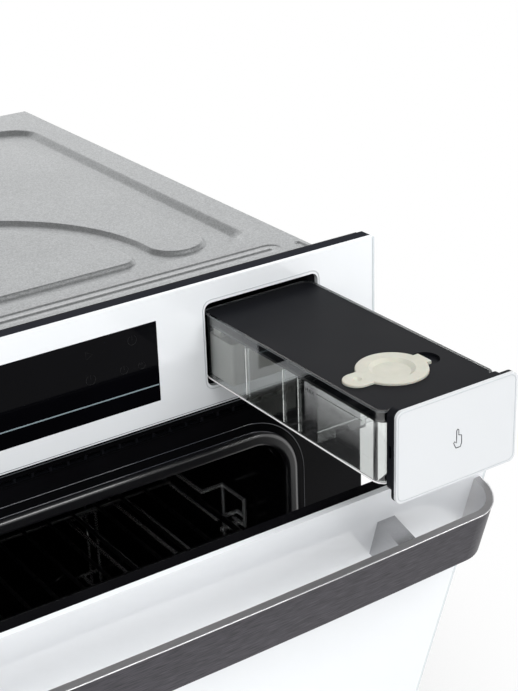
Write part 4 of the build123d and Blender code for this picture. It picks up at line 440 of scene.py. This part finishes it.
def add_run(curve, points, cyclic):
    """Adds a run of straight stretches through points in millimetres to a curve."""
    run = curve.splines.new("POLY")
    run.points.add(len(points) - 1)
    for point, (x, y, z) in zip(run.points, points):
        point.co = (x * MM, y * MM, z * MM, 1)
    run.use_cyclic_u = cyclic


def stroke(name, points, radius, material, body, cyclic=False):
    """A fine round bead or printed line through points in millimetres, as a curve that rides on a body."""
    curve = fine_curve(name, radius)
    curve.bevel_resolution = 2
    curve.use_fill_caps = not cyclic
    add_run(curve, points, cyclic)
    return hung(name, curve, material, body)


def upright(outline, y):
    """An outline of X and Z, stood at a depth y."""
    return [(x, y, z) for x, z in outline]


def smooth(share):
    """Smooth step from 0 to 1."""
    share = min(1.0, max(0.0, share))
    return share * share * (3 - 2 * share)


def arc(centre, radius, start, end, step=4.0):
    """Points of an arc in millimetres and degrees; it turns clockwise where end is less than start."""
    count = max(3, int(abs(math.radians(end - start)) * radius / step))
    turns = [math.radians(start + (end - start) * i / count) for i in range(count + 1)]
    return [(centre[0] + radius * math.cos(a), centre[1] + radius * math.sin(a)) for a in turns]


def closed(points, step=9.0):
    """A closed outline from corner points: long runs are divided, and doubled points left out."""
    outline = []
    for start, end in zip(points, points[1:] + points[:1]):
        gap = math.dist(start, end)
        if gap < 0.01:
            continue
        parts = max(1, int(gap / step))
        outline += [(start[0] + (end[0] - start[0]) * i / parts, start[1] + (end[1] - start[1]) * i / parts)
                    for i in range(parts)]
    return outline


def outward(outline):
    """Outward directions of an anticlockwise outline."""
    found = []
    for i in range(len(outline)):
        before, after = outline[i - 1], outline[(i + 1) % len(outline)]
        found.append(Vector((after[1] - before[1], before[0] - after[0])).normalized())
    return found


def moved_out(outline, ways, distances):
    """An outline whose points are moved along their directions."""
    return [(point[0] + way.x * far, point[1] + way.y * far)
            for point, way, far in zip(outline, ways, distances)]


def rounded(x0, y0, x1, y1, radius):
    """Anticlockwise rounded rectangle."""
    points = arc((x1 - radius, y0 + radius), radius, -90, 0)
    points += arc((x1 - radius, y1 - radius), radius, 0, 90)
    points += arc((x0 + radius, y1 - radius), radius, 90, 180)
    points += arc((x0 + radius, y0 + radius), radius, 180, 270)
    return closed(points)


class Pressing:
    """A sheet drawn over stepped outlines: rings of points with heights and true normals."""

    def __init__(self):
        self.points, self.heights, self.normals, self.edges = [], [], [], []

    def ring(self, outline, ways, levels, falls):
        """One closed line, with the sheet's height and how fast it falls outwards at each point."""
        first = len(self.points)
        count = len(outline)
        self.points += outline
        self.heights += levels
        self.normals += [Vector((way.x * fall, way.y * fall, 1)).normalized()
                         for way, fall in zip(ways, falls)]
        self.edges += [(first + i, first + (i + 1) % count) for i in range(count)]

    def fold(self, x0, y0, x1, y1, radius):
        """The sheet's rounded outer edge."""
        for turn in (0, 30, 60, 90):
            angle = math.radians(turn)
            pull = radius * (1 - math.sin(angle))
            outline = closed([(x0 + pull, y0 + pull), (x1 - pull, y0 + pull),
                              (x1 - pull, y1 - pull), (x0 + pull, y1 - pull)])
            levels = [-radius * (1 - math.cos(angle))] * len(outline)
            falls = [math.tan(math.radians(min(turn, 85)))] * len(outline)
            self.ring(outline, outward(outline), levels, falls)

    def step(self, outline, inside, outside, width):
        """A smooth step across an outline from one height to another; its width follows the direction."""
        ways = outward(outline)
        widths = [width(way) for way in ways]
        for share in (0.0, 0.12, 0.26, 0.42, 0.58, 0.74, 0.88, 1.0):
            moved = moved_out(outline, ways, [(share - 0.5) * wide for wide in widths])
            levels = [inside + (outside - inside) * smooth(share)] * len(outline)
            falls = [(inside - outside) * 6 * share * (1 - share) / wide for wide in widths]
            self.ring(moved, ways, levels, falls)

    def bead(self, x0, x1, y, profile, reach, rings=16):
        """A rolled rib along X whose section is profile(distance, direction)."""
        round_end = 4.0
        near = 0.05
        base = closed(arc((x1, y), round_end, -90, 90, 1.0) + arc((x0, y), round_end, 90, 270, 1.0))
        ways = outward(base)
        for i in range(1, rings + 1):
            far = reach * i / rings
            levels = [profile(far, way) for way in ways]
            falls = [(profile(far - near, way) - profile(far + near, way)) / (2 * near) for way in ways]
            self.ring(moved_out(base, ways, [far - round_end] * len(base)), ways, levels, falls)

    def mesh(self, name, level, thickness, rim):
        """The sheet's mesh in metres, with its underside and a folded rim."""
        vectors = [Vector(point) for point in self.points]
        flat, _, faces, origin = mathutils.geometry.delaunay_2d_cdt(vectors, self.edges, [], 0, 0.0001)[:4]
        heights = [self.heights[sources[0]] if sources else 0.0 for sources in origin]
        normals = [self.normals[sources[0]] if sources else Vector((0, 0, 1)) for sources in origin]
        top = [(point.x * MM, point.y * MM, (level + height) * MM) for point, height in zip(flat, heights)]
        under = [(x - n.x * thickness * MM, y - n.y * thickness * MM, z - n.z * thickness * MM)
                 for (x, y, z), n in zip(top, normals)]
        count = len(top)
        verts = top + under
        ways = normals + [-n for n in normals]
        sides = [tuple(face) for face in faces]
        sides += [tuple(count + i for i in reversed(face)) for face in faces]
        used = dict.fromkeys((a, b) for face in faces for a, b in zip(face, face[1:] + face[:1]))
        border = [(a, b) for a, b in used if (b, a) not in used]
        foot = {}
        bottom = (level - rim) * MM
        for corner in [corner for edge in border for corner in edge]:
            if corner not in foot:
                out = Vector((normals[corner].x, normals[corner].y, 0)).normalized()
                foot[corner] = len(verts)
                verts += [(*top[corner][:2], bottom), (*under[corner][:2], bottom)]
                ways += [out, -out]
        for a, b in border:
            fa, fb = foot[a], foot[b]
            sides += [(b, a, fa, fb), (fb, fa, fa + 1, fb + 1), (fb + 1, fa + 1, count + a, count + b)]
        mesh = bpy.data.meshes.new(name)
        mesh.from_pydata(verts, [], sides)
        mesh.polygons.foreach_set("use_smooth", [True] * len(mesh.polygons))
        mesh.normals_split_custom_set_from_vertices([tuple(way) for way in ways])
        mesh.update()
        return mesh


def rib_section(far, way):
    """Height of the front rib: a long gentle fall behind its crest and a short steep one ahead of it."""
    crest, gentle, steep = 0.3, 8.0, 2.2
    behind = crest - smooth(far / gentle) + 0.7 * smooth((far - gentle) / 2.5)
    ahead = crest - 0.8 * smooth(far / steep) + 0.5 * smooth((far - steep) / 5.5)
    return ahead + (behind - ahead) * (0.5 + 0.5 * way.y)


def field_width(way):
    """Width of the sunk field's slope: narrow in front and wide at the sides and the back."""
    return 3.5 + 6.0 * smooth(max(abs(way.x), way.y))


def island_outline(centre, cut):
    """D-shaped island: a round back and a straight front edge with rounded corners."""
    radius, corner = 149.5, 13.0
    bend_x = math.sqrt((radius - corner) ** 2 - (cut + corner - centre) ** 2)
    tip = math.degrees(math.atan2(cut + corner - centre, bend_x))
    outline = arc((bend_x, cut + corner), corner, -90, tip) + arc((0, centre), radius, tip, 180 - tip)
    return closed(outline + arc((-bend_x, cut + corner), corner, 180 - tip, 270))


def arch_outline(centre, shoulder_y):
    """Arch round the island: two round feet, straight legs and rounded shoulders."""
    inner, outer, foot, shoulder = 168.6, 217.8, 24.6, 16
    outline = arc((outer - foot, centre), foot, -90, 0)
    outline += arc((outer - shoulder, shoulder_y), shoulder, 0, 90)
    outline += arc((-outer + shoulder, shoulder_y), shoulder, 90, 180)
    outline += arc((-outer + foot, centre), foot, 180, 360)
    outline += arc((0, centre), inner, 180, 0)
    return closed(outline + arc((outer - foot, centre), foot, 180, 270))


def pressed_top(material):
    """The top sheet: a sunk field with a D-shaped island, an arch round it, a rolled rib and two dimples."""
    low, high = box_mm("top_cover")
    rib_rise, edge_radius, thickness, rim = 1.6, 1.4, 0.8, 4.6
    side, front, back = high.x, low.y, high.y
    sheet = Pressing()
    sheet.fold(-side, front, side, back, edge_radius)

    # Places run from the sheet's front and back edges, in millimetres, as measured in the photograph.
    centre = front + 112.5
    field_depth, raised_depth, slope = -4.0, -1.0, 5.0
    field = rounded(-243, front + 74.5, 243, back - 57, 26)
    sheet.step(field, field_depth, 0.0, field_width)
    for outline in (island_outline(centre, centre - 21.5), arch_outline(centre, back - 98)):
        sheet.step(outline, raised_depth, field_depth, lambda way: slope)

    sheet.bead(-242, 242, front + 46.0, rib_section, 10.5)
    dimple_radius, dimple_depth, dimple_slope = 2.2, -1.1, 1.6
    for x in (-267.5, 267.5):
        dimple = arc((x, front + 44), dimple_radius, 0, 180, 0.8)
        dimple += arc((x, front + 30), dimple_radius, 180, 360, 0.8)
        sheet.step(closed(dimple), dimple_depth, 0.0, lambda way: dimple_slope)
    mesh = sheet.mesh("pressed_top_sheet", high.z - rib_rise, thickness, rim)
    return hung("pressed_top_sheet", mesh, material, "housing", ["top_cover"])


def outer_rim(node, lean):
    """Points in millimetres along the outer top edge of a leaning band, from one end of it to the other."""
    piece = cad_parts[node]
    up = Vector((0, -math.sin(lean), math.cos(lean)))
    ahead = Vector((0, -math.cos(lean), -math.sin(lean)))
    spots = [piece.matrix_world @ vertex.co / MM for vertex in piece.data.vertices]
    level = max(spot.dot(up) for spot in spots)
    rim = [spot for spot in spots if level - spot.dot(up) < 0.02]
    hull = mathutils.geometry.convex_hull_2d([(spot.x, spot.dot(ahead)) for spot in rim])
    line = [rim[i] for i in hull]
    gaps = [(line[(i + 1) % len(line)] - line[i]).length for i in range(len(line))]
    first = gaps.index(max(gaps)) + 1
    return line[first:] + line[:first]


class OVEN_OT_housing(bpy.types.Operator):
    """Finish the zinc housing, its inner sheets and the wool"""
    bl_idname = "oven.housing"
    bl_label = "Housing"

    def execute(self, context):
        zinc = zinc_sheet(context.scene.oven_colours.zinc)
        dress(zinc, "top_cover", "side_panel_left", "side_panel_right", "back_panel", "base_plate",
              "component_tray", "air_duct", "blower_housing", "hinge_brackets", "door_hinge_arms")
        dress(mineral_wool(), "insulation_wrap")
        pressed_top(zinc)
        return {"FINISHED"}


class OVEN_OT_front(bpy.types.Operator):
    """Finish the control panel's glass, carrier, display and boards"""
    bl_idname = "oven.front"
    bl_label = "Control panel"

    def execute(self, context):
        colours = context.scene.oven_colours
        sizes = context.scene.oven_sizes
        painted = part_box("control_glass")[1].x - sizes.paint_border
        dress(white_glass("white_backed_panel_glass", colours.white_glass, painted), "control_glass")
        dress(smoked_glass(colours.display), "display_glass")
        plastic = moulded_plastic("spark_grained_black_abs", colours.black_plastic, 0.42, 0.4, 0.12, 0.08)
        dress(plastic, "tank_bay", "vent_grille", "dock_socket", "terminal_box")
        dress(moulded_plastic("matt_carrier_abs", linear("#2B2C31"), 0.6, 0.4, 0.1, 0.0), "panel_carrier")
        dress(circuit_board(), "display_board", "power_board")
        soften(sizes.glass_bevel, "control_glass")
        soften(sizes.moulded_bevel, "panel_carrier")
        self.glass_lines()
        self.display_marks()
        return {"FINISHED"}

    def glass_lines(self):
        """Clear edge lines of the panel's glass and of its opening for the tank, and a line of painted shade
        along its lower edge.
        """
        low, high = box_mm("control_glass")
        edge_x = high.x - 1.6
        stroke("panel_glass_edge_line", [(edge_x, low.y, low.z + 1.4), (edge_x, low.y, high.z - 1.6)], 0.22,
               line_ink("ground_glass_edge", "#C2C7C9"), "housing")
        # Grey line along the glass's lower edge: painted shade.
        foot_x, foot_z = high.x - 2, low.z + 1.3
        stroke("panel_lower_edge_line", [(-foot_x, low.y, foot_z), (foot_x, low.y, foot_z)], 0.25,
               line_ink("shaded_glass_edge", "#6E7478"), "housing")
        gap_x, gap_z, corner = 1.9, 2.9, 7.0
        inner, outer = box_mm("drawer_glass")
        hole = rounded(inner.x - gap_x, inner.z - gap_z, outer.x + gap_x, outer.z + gap_z, corner)
        stroke("tank_opening_line", upright(hole, low.y), 0.35, line_ink("pale_opening_edge", "#B9BEC1"),
               "housing", True)

    def display_marks(self):
        """The unlit display's light bar and its symbols: open rings with a pointer, and two arrows."""
        low, high = box_mm("display_glass")
        bar_x, bar_z = high.x - 0.8, low.z + 13.2
        bar = line_ink("unlit_light_bar", "#77868C", 0.35)
        stroke("display_light_bar", [(-bar_x, low.y, bar_z), (bar_x, low.y, bar_z)], 0.55, bar, "housing")
        signs = fine_curve("display_symbols", 0.14)
        middle = (low.z + high.z) / 2
        for x, rise, radius in ((79, 22, 3.6), (71, 1, 3.2), (85.5, 0.5, 2.8), (44, 1, 3.8), (-44, 1, 3.8)):
            z = middle + rise
            add_run(signs, upright(arc((x, z), radius, 120, 420, 0.8), low.y), False)
            add_run(signs, [(x, low.y, z), (x, low.y, z + radius)], False)
        for x in (44, -44):
            arrow = [(x - 2.5, middle + 17), (x - 2.5, middle + 23), (x + 3, middle + 20)]
            add_run(signs, upright(arrow, low.y), True)
        faint = line_ink("unlit_symbol_film", "#0B0B0E", 0.4)
        hung("display_symbols", signs, faint, "housing")


class OVEN_OT_cavity(bpy.types.Operator):
    """Finish the enamelled frame and cavity, gasket, racks, shelf, heaters and fan"""
    bl_idname = "oven.cavity"
    bl_label = "Cavity"

    def execute(self, context):
        colours = context.scene.oven_colours
        enamel = black_enamel("fired_black_enamel", colours.enamel, 0.05)
        dress(enamel, "front_frame", "cavity_liner", "fan_cover", "door_inner_frame", "door_top_trim",
              "door_side_trims")
        rubber = silicone("black_silicone_seal", linear("#141417"), 0.34, 0.0, 1.0)
        dress(rubber, "door_gasket", "lid_seal", "water_hoses")
        soften(context.scene.oven_sizes.pressed_bevel, "front_frame", "door_inner_frame", segments=3)
        self.frame_folds()
        # Near-white base with some diffuse: the racks' chrome brightened as painted highlight.
        lit_chrome = chrome_plate("lit_chrome_plated_wire", linear("#F2F3F4"), 0.12, 0.8)
        dress(lit_chrome, "side_rack_left", "side_rack_right", "rack_studs")
        # The shelf's chrome at a quarter of its colour: painted shade inside the cavity.
        dress(chrome_plate("shaded_chrome_wire", shade(colours.chrome, 0.25), 0.3, 1.0), "wire_shelf")
        steel = brushed_steel("satin_stainless_sheet", linear("#9A9A98"), 0.3, 0.35, 0)
        dress(steel, "convection_fan", "blower_wheel", "steam_inlet", "temperature_sensor", "grill_brackets",
              "pane_spacer", "handle_screws", "fan_motor", "blower_motor")
        dress(heater_oxide(), "ring_heater", "grill_element")
        dress(clear_plastic("clear_float_glass", linear("#F2F7F4"), 0.0, 1.52), "lamp_lens", "door_panes")
        dress(moulded_plastic("glazed_lamp_ceramic", linear("#E4E0D2"), 0.3, 1.0, 0.02), "lamp_holder")
        dress(moulded_plastic("sand_cast_aluminium", linear("#A6A6A4"), 0.6, 0.8, 0.4), "steam_boiler")
        return {"FINISHED"}

    def frame_folds(self):
        """Lines of painted highlight along the frame's folds: one under the panel and two round the gasket.
        """
        front = box_mm("front_frame")[0].y
        low, high = box_mm("door_gasket")
        # Grey enamel line under the panel: a painted highlight on the black frame.
        fold = black_enamel("enamel_fold_highlight", linear("#5C6064"), 1.0)
        fold_x, fold_z = 290, 485.3
        stroke("frame_upper_fold_highlight", [(-fold_x, front, fold_z), (fold_x, front, fold_z)], 0.4, fold, "housing")
        # The step beads stand proud like the frame's pressed steps; their grey enamel is painted highlight.
        edge = black_enamel("enamel_step_highlight", linear("#303238"), 1.0)
        for name, gap_x, gap_z, bend, radius in (("frame_step_outer", 7.8, 9.2, 56.0, 0.45),
                                                 ("frame_step_inner", 1.1, 1.1, 46.0, 0.5)):
            shape = rounded(low.x - gap_x, low.z - gap_z, high.x + gap_x, high.z + gap_z, bend)
            stroke(name, upright(shape, front), radius, edge, "housing", True)


class OVEN_OT_door(bpy.types.Operator):
    """Finish the door's white glass and its brushed handle"""
    bl_idname = "oven.door"
    bl_label = "Door and handle"

    def execute(self, context):
        colours = context.scene.oven_colours
        sizes = context.scene.oven_sizes
        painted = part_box("door_glass")[1].x - sizes.paint_border
        dress(white_glass("white_backed_door_glass", colours.white_glass, painted), "door_glass")
        # The near-white rim colour is painted highlight and painted reflection on the handle band.
        band = brushed_steel("tinted_brushed_handle_steel", colours.handle, 0.6, 0.34, 0,
                             rim=linear("#F0EFF0"), contrast=0.6)
        dress(band, "handle_band")
        struts = brushed_steel("satin_strut_steel", linear("#B4B4B6"), 0.6, 0.2, 1, contrast=0.08)
        dress(struts, "handle_struts")
        # A near-white steel bead along the band's outer top edge: a painted highlight.
        rim_highlight = brushed_steel("rim_highlight_steel", linear("#F4F4F5"), 0.6, 0.3, 0)
        stroke("handle_rim_highlight", outer_rim("handle_band", sizes.door_lean), 0.45, rim_highlight, "door")
        soften(sizes.glass_bevel, "door_glass")
        soften(sizes.handle_bevel, "handle_band", "handle_struts")
        soften(sizes.moulded_bevel, "door_top_trim")
        return {"FINISHED"}


class OVEN_OT_water_tank(bpy.types.Operator):
    """Finish the water tank drawer, its lid and cap"""
    bl_idname = "oven.water_tank"
    bl_label = "Water tank"

    def execute(self, context):
        colours = context.scene.oven_colours
        sizes = context.scene.oven_sizes
        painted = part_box("drawer_glass")[1].x + sizes.paint_border
        # The drawer's glass is the white glass at 0.74: a shaded copy, painted shade.
        shaded_glass = white_glass("shaded_white_drawer_glass", shade(colours.white_glass, 0.74), painted)
        dress(shaded_glass, "drawer_glass")
        plastic = moulded_plastic("satin_black_abs", colours.black_plastic, 0.45, 0.35, 0.06, 0.07)
        dress(plastic, "tank_lid", "drawer_block")
        dress(clear_plastic("clear_moulded_san", linear("#F4F6F5"), 0.015, 1.57), "tank_body", "tank_baffle")
        acetal = moulded_plastic("white_acetal", linear("#E8E8E4"), 0.35, 0.5, 0.03)
        dress(acetal, "tank_valve", "water_pump", "latch_plunger")
        dress(silicone("cream_silicone", colours.cap, 0.42, 0.15), "filler_cap")
        soften(sizes.glass_bevel, "drawer_glass")
        soften(sizes.moulded_bevel, "drawer_block", "tank_lid")
        self.tank_edges()
        self.fill_mark()
        self.drawer_print()
        return {"FINISHED"}

    def tank_edges(self):
        """Painted highlights along the clear tank's floor and rim, where its moulded edges gather light."""
        low, high = box_mm("tank_body")
        # White line along the floor and grey line along the rim: painted highlights on the clear tank.
        floor_highlight = silicone("san_floor_highlight", linear("#FFFFFF"), 0.25, 0.0)
        rim = silicone("san_rim_highlight", linear("#85898C"), 0.2, 0.0)
        corner = 7.5
        for name, z, inset, radius, look in (("tank_floor_edge", low.z + 0.9, 0.2, 0.62, floor_highlight),
                                             ("tank_rim_edge", high.z - 0.9, 0.15, 0.28, rim)):
            shape = rounded(low.x + inset, low.y + inset, high.x - inset, high.y - inset, corner)
            stroke(name, [(x, y, z) for x, y in shape], radius, look, "drawer", True)

    def fill_mark(self):
        """Fill mark on the tank's left wall: a frosted window, the word and a dotted line."""
        low, high = box_mm("tank_body")
        window = rounded(low.y + 6.5, low.z + 2.5, low.y + 83, high.z - 8.5, 1.5)

        def film(work):
            """The window as a closed skin of film on the wall."""
            skins = []
            for x, way in ((low.x - 0.01, 1), (low.x - 0.04, -1)):
                corners = [work.verts.new((x * MM, y * MM, z * MM)) for y, z in window[::way]]
                work.faces.new(corners)
                skins.append(corners[::way])
            for i in range(len(window)):
                work.faces.new([skins[0][i - 1], skins[0][i], skins[1][i], skins[1][i - 1]])

        def dots(work):
            """A row of short dashes with rounded edges."""
            size = Matrix.Diagonal((0.06 * MM, 1.2 * MM, 0.75 * MM, 1))
            for i in range(22):
                spot = Vector((low.x - 0.06, low.y + 68.5 - 2.3 * i, high.z - 13.1))
                made = bmesh.ops.create_cube(work, size=1.0, matrix=Matrix.Translation(spot * MM) @ size)
                edges = {edge for vert in made["verts"] for edge in vert.link_edges}
                bmesh.ops.bevel(work, geom=list(edges), offset=0.01 * MM, segments=1, affect="EDGES")

        haze = sand_blasted((low.z + 16) * MM, high.z * MM)
        ink = moulded_plastic("pad_printed_ink", linear("#08080A"), 0.5, 0.3, 0.0)
        new_piece("tank_frosted_window", film, haze, "drawer")
        word = bpy.data.curves.new("tank_fill_word", "FONT")
        word.body = "MAX"
        word.size = 4.2 * MM
        word.extrude = 0.03 * MM
        word.space_character = 1.25
        piece = hung("tank_fill_word", word, ink, "drawer")
        read_from_left = Matrix(((0, 0, -1), (-1, 0, 0), (0, 1, 0))).to_4x4()
        start = Vector((low.x - 0.07, low.y + 82, low.z + 37.6))
        piece.matrix_world = Matrix.Translation(start * MM) @ read_from_left
        new_piece("tank_fill_dots", dots, ink, "drawer")

    def drawer_print(self):
        """Press sign and edge line printed on the drawer's glass."""
        low, high = box_mm("drawer_glass")
        hand = [(-1.0, 0.5), (-1.0, 6.3), (-0.2, 7.2), (0.8, 6.3), (0.8, 2.8), (3.2, 2.0), (3.4, -3.2),
                (2.4, -6.2), (-1.4, -6.2), (-3.4, -2.2), (-2.6, -1.2), (-1.0, -2.6)]
        middle_x, middle_z = (low.x + high.x) / 2, (low.z + high.z) / 2 - 1.2
        grey = moulded_plastic("grey_screen_print", linear("#2E3134"), 0.5, 0.3, 0.0)
        sign = [(middle_x + x, low.y, middle_z + z) for x, z in hand]
        stroke("drawer_press_sign", sign, 0.32, grey, "drawer", True)
        inset, corner = 1.5, 4.5
        shape = rounded(low.x + inset, low.z + inset, high.x - inset, high.z - inset, corner)
        stroke("drawer_glass_edge_line", upright(shape, low.y), 0.2, line_ink("pale_glass_edge", "#A9AFB3"),
               "drawer", True)


class OVEN_OT_stage(bpy.types.Operator):
    """Lay the floor, hang the soft boxes and set the camera at the photograph's place"""
    bl_idname = "oven.stage"
    bl_label = "Stage and camera"

    def execute(self, context):
        studio = context.scene.oven_studio
        self.floor(studio)
        self.world(studio)
        self.lights(studio)
        self.camera(studio)
        context.scene.view_settings.view_transform = "Standard"
        return {"FINISHED"}

    def floor(self, studio):
        """Plain pale floor that keeps the shadow and shows white elsewhere."""
        mesh = bpy.data.meshes.new("studio_floor")
        half = 6.0
        corners = [(-half, -half, 0), (half, -half, 0), (half, half, 0), (-half, half, 0)]
        mesh.from_pydata(corners, [], [(0, 1, 2, 3)])
        mesh.materials.append(self.paper(studio))
        floor = bpy.data.objects.new("studio_floor", mesh)
        bpy.context.scene.collection.objects.link(floor)

    def paper(self, studio):
        """Matt white paper that holds the shadow near the oven and turns to the backdrop further out."""
        material, tree, place = new_material("matt_white_paper")
        fleck = add_node(tree, "ShaderNodeTexNoise", {"Vector": place, "Scale": 1 / (2 * MM)})
        tone = add_node(tree, "ShaderNodeValToRGB", {"Fac": fleck},
                        stops=mottle(studio.backdrop, 0.94, 0.96))
        matt = add_node(tree, "ShaderNodeBsdfPrincipled", {
            "Base Color": tone, "Roughness": 0.9, "Specular IOR Level": 0.1})
        shadow_end, backdrop_start = 0.4, 0.75
        far = add_node(tree, "ShaderNodeVectorMath", {0: place}, operation="LENGTH")
        edge = add_node(tree, "ShaderNodeMapRange", {
            "Value": far, "From Min": shadow_end, "From Max": backdrop_start},
            interpolation_type="SMOOTHSTEP")
        rays = add_node(tree, "ShaderNodeLightPath")
        seen = add_node(tree, "ShaderNodeMath", {
            0: rays.outputs["Is Camera Ray"], 1: indirect(tree, rays)}, operation="MAXIMUM")
        share = add_node(tree, "ShaderNodeMath", {0: edge, 1: seen}, operation="MULTIPLY")
        white = add_node(tree, "ShaderNodeEmission", {"Color": studio.backdrop, "Strength": 1.0})
        mixed = add_node(tree, "ShaderNodeMixShader", {0: share, 1: matt, 2: white})
        add_node(tree, "ShaderNodeOutputMaterial", {"Surface": mixed})
        return material

    def world(self, studio):
        """Even grey light, with the backdrop white where it is seen, mirrored or looked at through glass."""
        world = bpy.data.worlds.new("studio")
        world.use_nodes = True
        tree = world.node_tree
        tree.nodes.clear()
        rays = add_node(tree, "ShaderNodeLightPath")
        where = add_node(tree, "ShaderNodeTexCoord")
        height = add_node(tree, "ShaderNodeSeparateXYZ", {"Vector": where.outputs["Generated"]})
        dim_end = studio.sweep_top + 0.5
        sweep = add_node(tree, "ShaderNodeMapRange", {
            "Value": height.outputs["Z"], "From Min": studio.sweep_top, "From Max": dim_end,
            "To Min": 1.0, "To Max": studio.ceiling}, interpolation_type="SMOOTHSTEP")
        soft = add_node(tree, "ShaderNodeBackground", {"Color": (1, 1, 1), "Strength": studio.ambient})
        sheet = add_node(tree, "ShaderNodeBackground", {"Color": studio.backdrop, "Strength": sweep})
        white = add_node(tree, "ShaderNodeBackground", {"Color": studio.backdrop, "Strength": 1.0})
        mirrored = add_node(tree, "ShaderNodeMixShader", {0: indirect(tree, rays), 1: soft, 2: sheet})
        mixed = add_node(tree, "ShaderNodeMixShader", {
            0: rays.outputs["Is Camera Ray"], 1: mirrored, 2: white})
        add_node(tree, "ShaderNodeOutputWorld", {"Surface": mixed})
        bpy.context.scene.world = world

    def lights(self, studio):
        """Three large soft boxes: over, behind and before the oven."""
        boxes = [
            ("top_box", (0.45, -1.45, 1.75), (0.0, -0.28, 0.45), (2.2, 0.45), studio.top_light),
            ("back_box", (0.9, 2.0, 1.5), (0.0, 0.0, 0.55), (2.6, 1.6), studio.back_light),
            ("front_box", (-0.9, -2.4, 1.0), (0.0, -0.3, 0.45), (2.2, 1.8), studio.front_light),
        ]
        for name, start, aim, size, power in boxes:
            data = bpy.data.lights.new(name, "AREA")
            data.shape = "RECTANGLE"
            data.size, data.size_y = size
            data.energy = power
            light = bpy.data.objects.new(name, data)
            turn = (Vector(start) - Vector(aim)).to_track_quat("Z", "Y")
            light.matrix_world = Matrix.Translation(start) @ turn.to_matrix().to_4x4()
            bpy.context.scene.collection.objects.link(light)

    def camera(self, studio):
        """Camera at the photograph's place, solved from the panel's and the housing's straight edges."""
        data = bpy.data.cameras.new("photo_camera")
        data.lens = studio.lens
        data.sensor_width = 36.0
        data.dof.use_dof = False
        data.clip_start = 0.05
        data.clip_end = 50
        camera = bpy.data.objects.new("photo_camera", data)
        azimuth, elevation, roll = math.radians(-33.4858), math.radians(24.2114), math.radians(-1.9893)
        right = Vector((math.cos(azimuth), math.sin(azimuth), 0))
        level = Vector((-math.sin(azimuth), math.cos(azimuth), 0))
        forward = level * math.cos(elevation) - Vector((0, 0, math.sin(elevation)))
        up = right.cross(forward)
        rolled_right = math.cos(roll) * right + math.sin(roll) * up
        rolled_up = math.cos(roll) * up - math.sin(roll) * right
        turn = Matrix((rolled_right, rolled_up, -forward)).transposed()
        place = Vector((-402.56, -1181.72, 1013.24)) * MM
        camera.matrix_world = Matrix.Translation(place) @ turn.to_4x4()
        bpy.context.scene.collection.objects.link(camera)
        bpy.context.scene.camera = camera


class OVEN_PT_panel(bpy.types.Panel):
    """Lists the oven's settings and steps"""
    bl_label = "Combi oven"
    bl_idname = "OVEN_PT_panel"
    bl_space_type = "VIEW_3D"
    bl_region_type = "UI"
    bl_category = "Oven"

    def draw(self, context):
        for name in GROUPS:
            group = getattr(context.scene, name)
            box = self.layout.box()
            for key in group.bl_rna.properties.keys():
                if key not in ("rna_type", "name"):
                    box.prop(group, key)
        for operator in OPERATORS:
            self.layout.operator(operator.bl_idname)


OPERATORS = (OVEN_OT_housing, OVEN_OT_front, OVEN_OT_cavity, OVEN_OT_door, OVEN_OT_water_tank, OVEN_OT_stage)
GROUPS = {"oven_colours": OvenColours, "oven_sizes": OvenSizes, "oven_studio": StudioSettings}


def register():
    for name, group in GROUPS.items():
        bpy.utils.register_class(group)
        setattr(bpy.types.Scene, name, bpy.props.PointerProperty(type=group))
    for kind in (*OPERATORS, OVEN_PT_panel):
        bpy.utils.register_class(kind)


def unregister():
    for kind in (OVEN_PT_panel, *reversed(OPERATORS)):
        bpy.utils.unregister_class(kind)
    for name, group in GROUPS.items():
        delattr(bpy.types.Scene, name)
        bpy.utils.unregister_class(group)


def main():
    register()
    bpy.ops.oven.housing()
    bpy.ops.oven.front()
    bpy.ops.oven.cavity()
    bpy.ops.oven.door()
    bpy.ops.oven.water_tank()
    bpy.ops.oven.stage()


if __name__ == "__main__":
    main()
